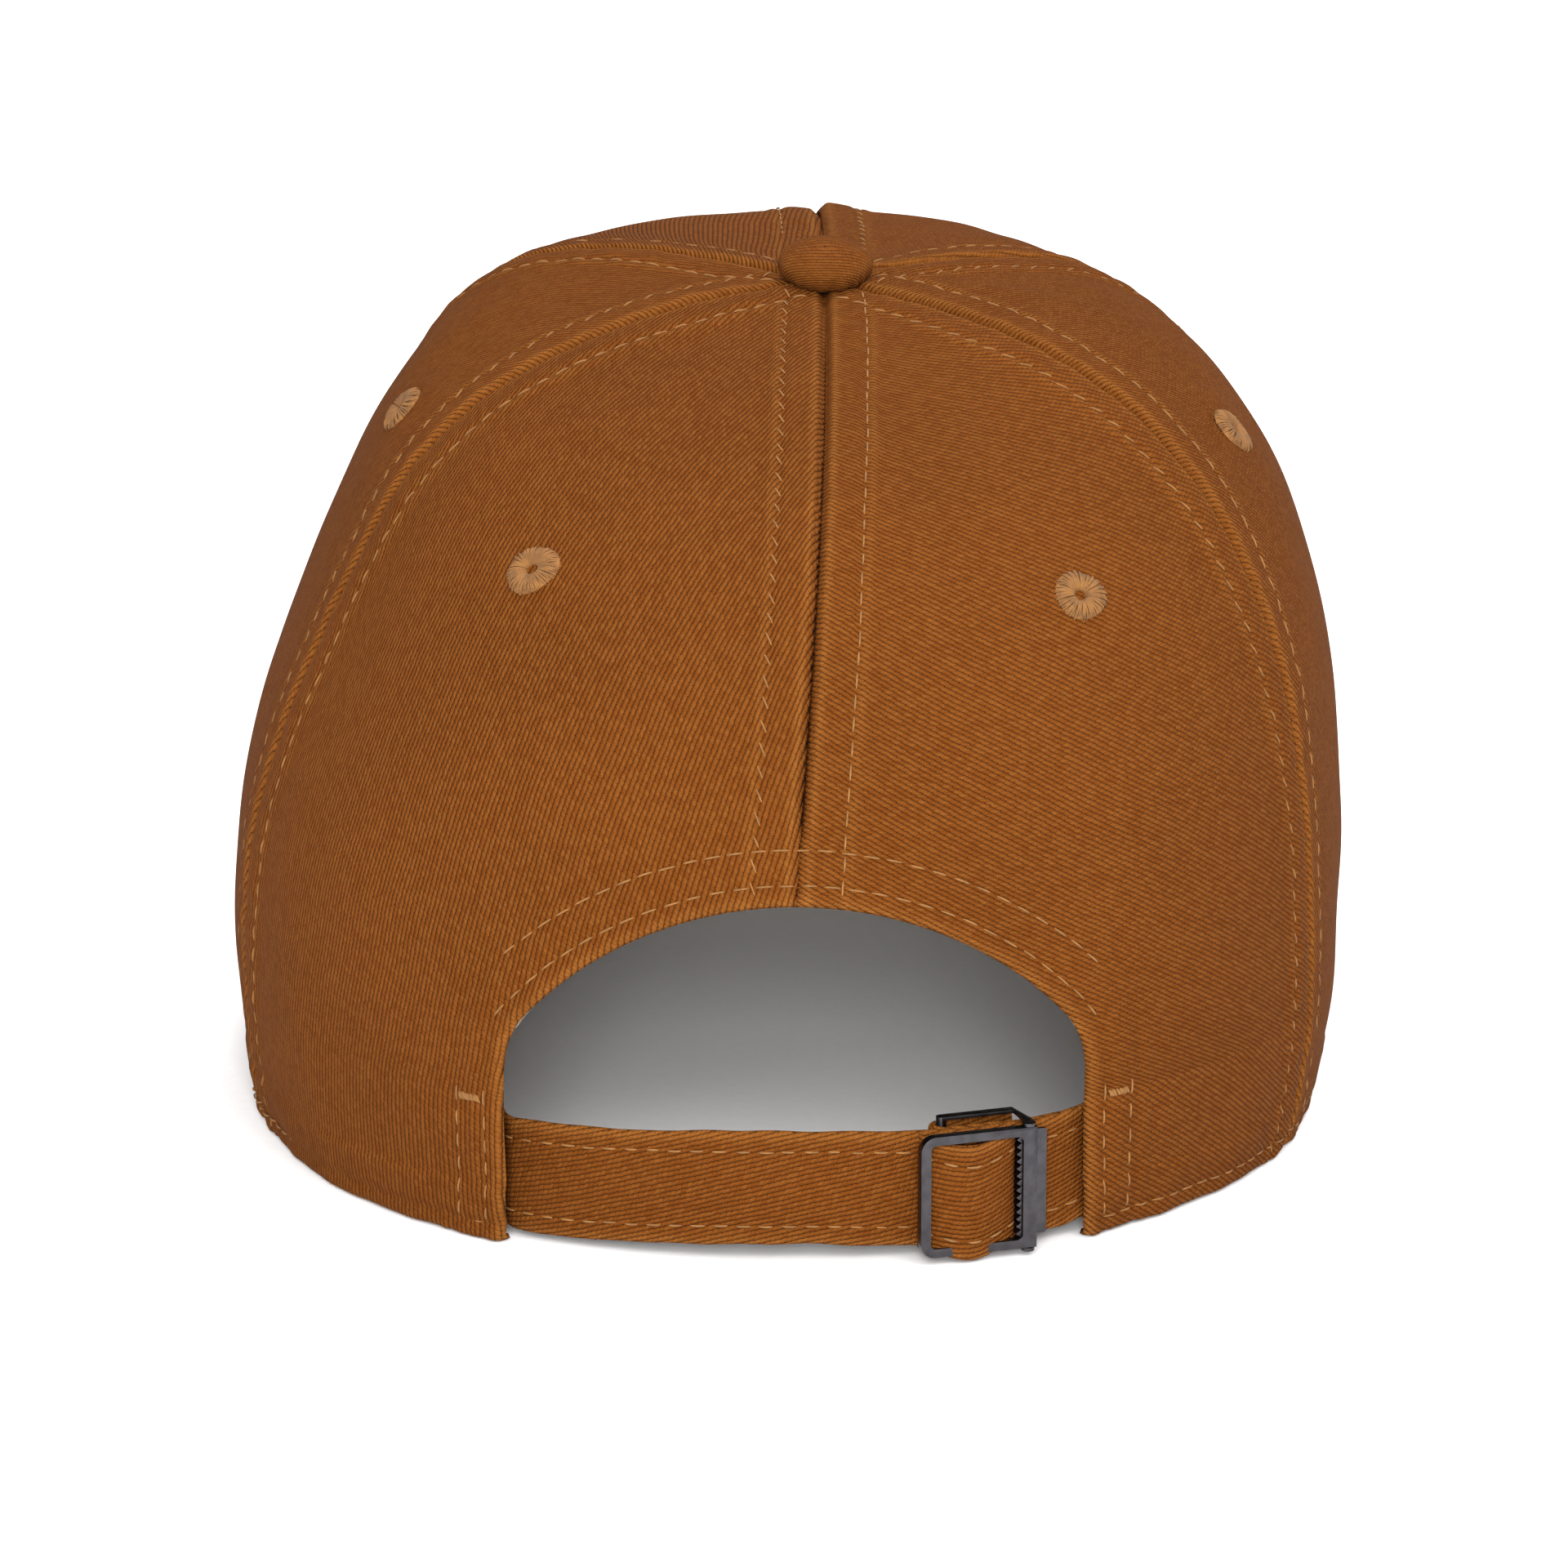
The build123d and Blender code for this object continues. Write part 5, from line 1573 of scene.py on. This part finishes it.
@dataclass
class Visor:
    """Curved visor: a stiff board between two cloth covers, sewn round in even rows. Millimetres."""

    crown: Crown
    crest: float = 19.07
    bend: float = 236.0
    slope: float = 0.05
    start: float = 10.0
    half: float = 86.0
    widest: float = 58.0
    tip: float = 168.0
    thick: float = 3.4
    rows: int = 7
    row_gap: float = 6.5
    row_start: float = 4.0
    corner: float = -26.0
    end: float = 102.5
    grain: float = 55.0

    def above_middle(self, point: Array) -> Array:
        """Height of a point above the middle of the visor's thickness."""
        return point[..., 2] - self.under(point[..., 0], point[..., 1]) - self.thick / 2

    def under(self, x: Array, y: Array) -> Array:
        """Height of the underside: an arc across, falling evenly forwards."""
        arc = self.crest - self.bend + np.sqrt(np.maximum(self.bend**2 - x**2, 0))
        return arc - self.slope * (-self.start - y)

    def outline(self, share: Array) -> Array:
        """Point of the outer edge at a share of its length: two straight sides and half an ellipse."""
        turn = np.linspace(0, np.pi, 400)
        ahead = -self.widest - (self.tip - self.widest) * np.sin(turn)
        front = np.stack([self.half * np.cos(turn), ahead], -1)
        side = np.array([[self.half, self.corner]])
        line = np.concatenate([side, front, side * (-1, 1)])
        run = along(np.concatenate([line, 0 * line[:, :1]], 1))
        return np.stack([np.interp(share * run[-1], run, line[:, k]) for k in (0, 1)], -1)

    def root(self, share: Array) -> Array:
        """Point in plan where the visor meets the crown, left to right."""
        bearing = 360 - self.end + (2 * self.end - 360) * share
        up = self.crown.rise_to(bearing, self.above_middle)
        point, normal, _ = self.crown.form.frame(bearing, up)
        return (point - normal * 0.4)[..., :2]

    def surface(self, share: Array, out: Array, high: float) -> tuple[Array, Array]:
        """Cover surface from the root to the edge; the edge is a half circle of the thickness.

        Args:
            share: Share of the way round.
            out: Share of the way from the root to the edge.
            high: 1 for the top face, -1 for the underside.

        Returns:
            Points in metres, and distance to the edge in millimetres.
        """
        root, edge = self.root(share), self.outline(share)
        plan = root[None] + (edge - root)[None] * out[:, None, None]
        gap = (1 - out)[:, None] * np.linalg.norm(edge - root, axis=-1)[None, :]
        near = np.clip(gap / (self.thick / 2), 0, 1)
        bulge = self.thick / 2 * np.sqrt(np.clip(1 - (1 - near) ** 2, 0, 1))
        for k in range(self.rows):
            bulge = bulge - 0.22 * hump(gap, self.row_start + k * self.row_gap, 0.8)
        bulge = bulge + 0.10 * drift(plan[..., 0], plan[..., 1], 24, 11) * near
        z = self.under(plan[..., 0], plan[..., 1]) + self.thick / 2 + high * bulge
        return np.concatenate([plan, z[..., None]], axis=-1) * MM, gap

    def make(self, cloth: bpy.types.Material, thread: bpy.types.Material) -> None:
        """Builds and dresses the visor."""
        share = np.linspace(0, 1, 260)
        out = 1 - spaced(120, 0.1, 3.0)[::-1]
        out = np.sort(np.clip(out, 0, 1))
        for side, high in (("top", 1), ("under", -1)):
            name, node = f"visor_{side}", f"visor_{side}_cover"
            points, gap = self.surface(share, out, high)
            weave = turned(points[..., 0], points[..., 1], self.grain)
            # Lighter visor rim: edge wear and painted highlight.
            wear_and_highlight = 0.7 * hump(gap, 0.2, 1.0)
            middle = points[60, 130] - np.array([0, 0, 0.05 * high])
            piece = new_piece(name, [Patch(points, weave, wear_and_highlight)], cloth, outward_from=tuple(middle), weld=0)
            thicken(piece, 0.0005)
            settle(piece, Body.CAP, [node])
            sewn = Needlework(name + "_stitches")
            for k in range(self.rows):
                off = self.row_start + k * self.row_gap
                root, edge = self.root(share), self.outline(share)
                length = np.linalg.norm(edge - root, axis=-1)
                keep = length > off + 3
                place = 1 - off / np.maximum(length, 1)
                plan = root + (edge - root) * place[:, None]
                z = self.under(plan[:, 0], plan[:, 1]) + self.thick / 2 + high * (self.thick / 2 - 0.2)
                path = np.concatenate([plan, z[:, None]], 1)[keep] * MM
                sewn.row(path, np.tile([0.0, 0.0, float(high)], (len(path), 1)), Thread(rings=4, sides=5))
            sewn.make(thread)


@dataclass
class Studio:
    """Floor, soft light and camera. Metres and degrees."""

    aim: tuple[float, float, float] = (0.002, 0.0, 0.0477)
    distance: float = 1.1
    elevation: float = 16.0
    lens: float = 155.7
    white: float = 0.86

    def make(self) -> None:
        """Builds the stage."""
        scene = bpy.context.scene
        scene.view_settings.view_transform = "Standard"
        world = bpy.data.worlds.new("studio")
        world.use_nodes = True
        world.node_tree.nodes["Background"].inputs[0].default_value = (1.0, 1.0, 1.0, 1.0)
        world.node_tree.nodes["Background"].inputs[1].default_value = 0.82
        scene.world = world
        mesh = bpy.data.meshes.new("floor")
        reach = 3.0
        corners = [(-reach, -reach, 0), (reach, -reach, 0), (reach, reach, 0), (-reach, reach, 0)]
        mesh.from_pydata(corners, [], [(0, 1, 2, 3)])
        floor = bpy.data.objects.new("floor", mesh)
        scene.collection.objects.link(floor)
        paper = Finish("floor_paper", (self.white,) * 3 + (1.0,), rough=0.9, shade=0.01)
        mesh.materials.append(paper.material())
        for name, place, size, power in (
            ("key", (-0.75, 1.4, 1.35), 0.9, 20.0),
            ("low_back", (0.0, 1.9, 0.60), 0.6, 34.0),
            ("high_back", (0.1, 1.4, 1.0), 0.5, 15.0),
            ("fill", (1.3, 0.7, 0.9), 1.2, 4.0),
            ("top", (-0.4, -0.6, 1.5), 1.0, 20.0),
        ):
            light = bpy.data.lights.new(name, "AREA")
            light.size = size
            light.energy = power
            lamp = bpy.data.objects.new(name, light)
            lamp.location = place
            lamp.rotation_euler = (Vector(self.aim) - Vector(place)).to_track_quat("-Z", "Y").to_euler()
            scene.collection.objects.link(lamp)
        rise = np.radians(self.elevation)
        camera = bpy.data.objects.new("camera", bpy.data.cameras.new("camera"))
        camera.data.lens = self.lens
        camera.data.sensor_width = 36.0
        camera.data.clip_end = 20.0
        target = Vector(self.aim)
        camera.location = target + Vector((0, np.cos(rise), np.sin(rise))) * self.distance
        camera.rotation_euler = (target - camera.location).to_track_quat("-Z", "Y").to_euler()
        scene.collection.objects.link(camera)
        scene.camera = camera


def main(frame: dict) -> None:
    """Builds the cap piece by piece.
    """
    logging.basicConfig(level=logging.INFO, format="%(name)s: %(message)s")
    Studio().make()
    cloth, thread, steel = TAN_TWILL.material(), THREAD.material(), STEEL.material()
    crown = Crown(CrownForm())
    crown.make(cloth, thread)
    inside = {
        "buckram": BUCKRAM.material(),
        "tape": TAPE.material(),
        "band": BAND_CLOTH.material(),
        "foam": FOAM.material(),
        "thread": thread,
    }
    SewnIn(crown).make(inside)
    Eyelets(crown).make(EYELET_THREAD.material())
    Button(crown).make(cloth, steel)
    Straps().make(cloth, thread)
    Buckle().make(GUNMETAL.material())
    Visor(crown).make(cloth, thread)
    board = frame["nodes"]["visor_board"]
    board.data.materials.clear()
    board.data.materials.append(BOARD.material())


if __name__ == "__main__":
    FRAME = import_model()
    main(FRAME)
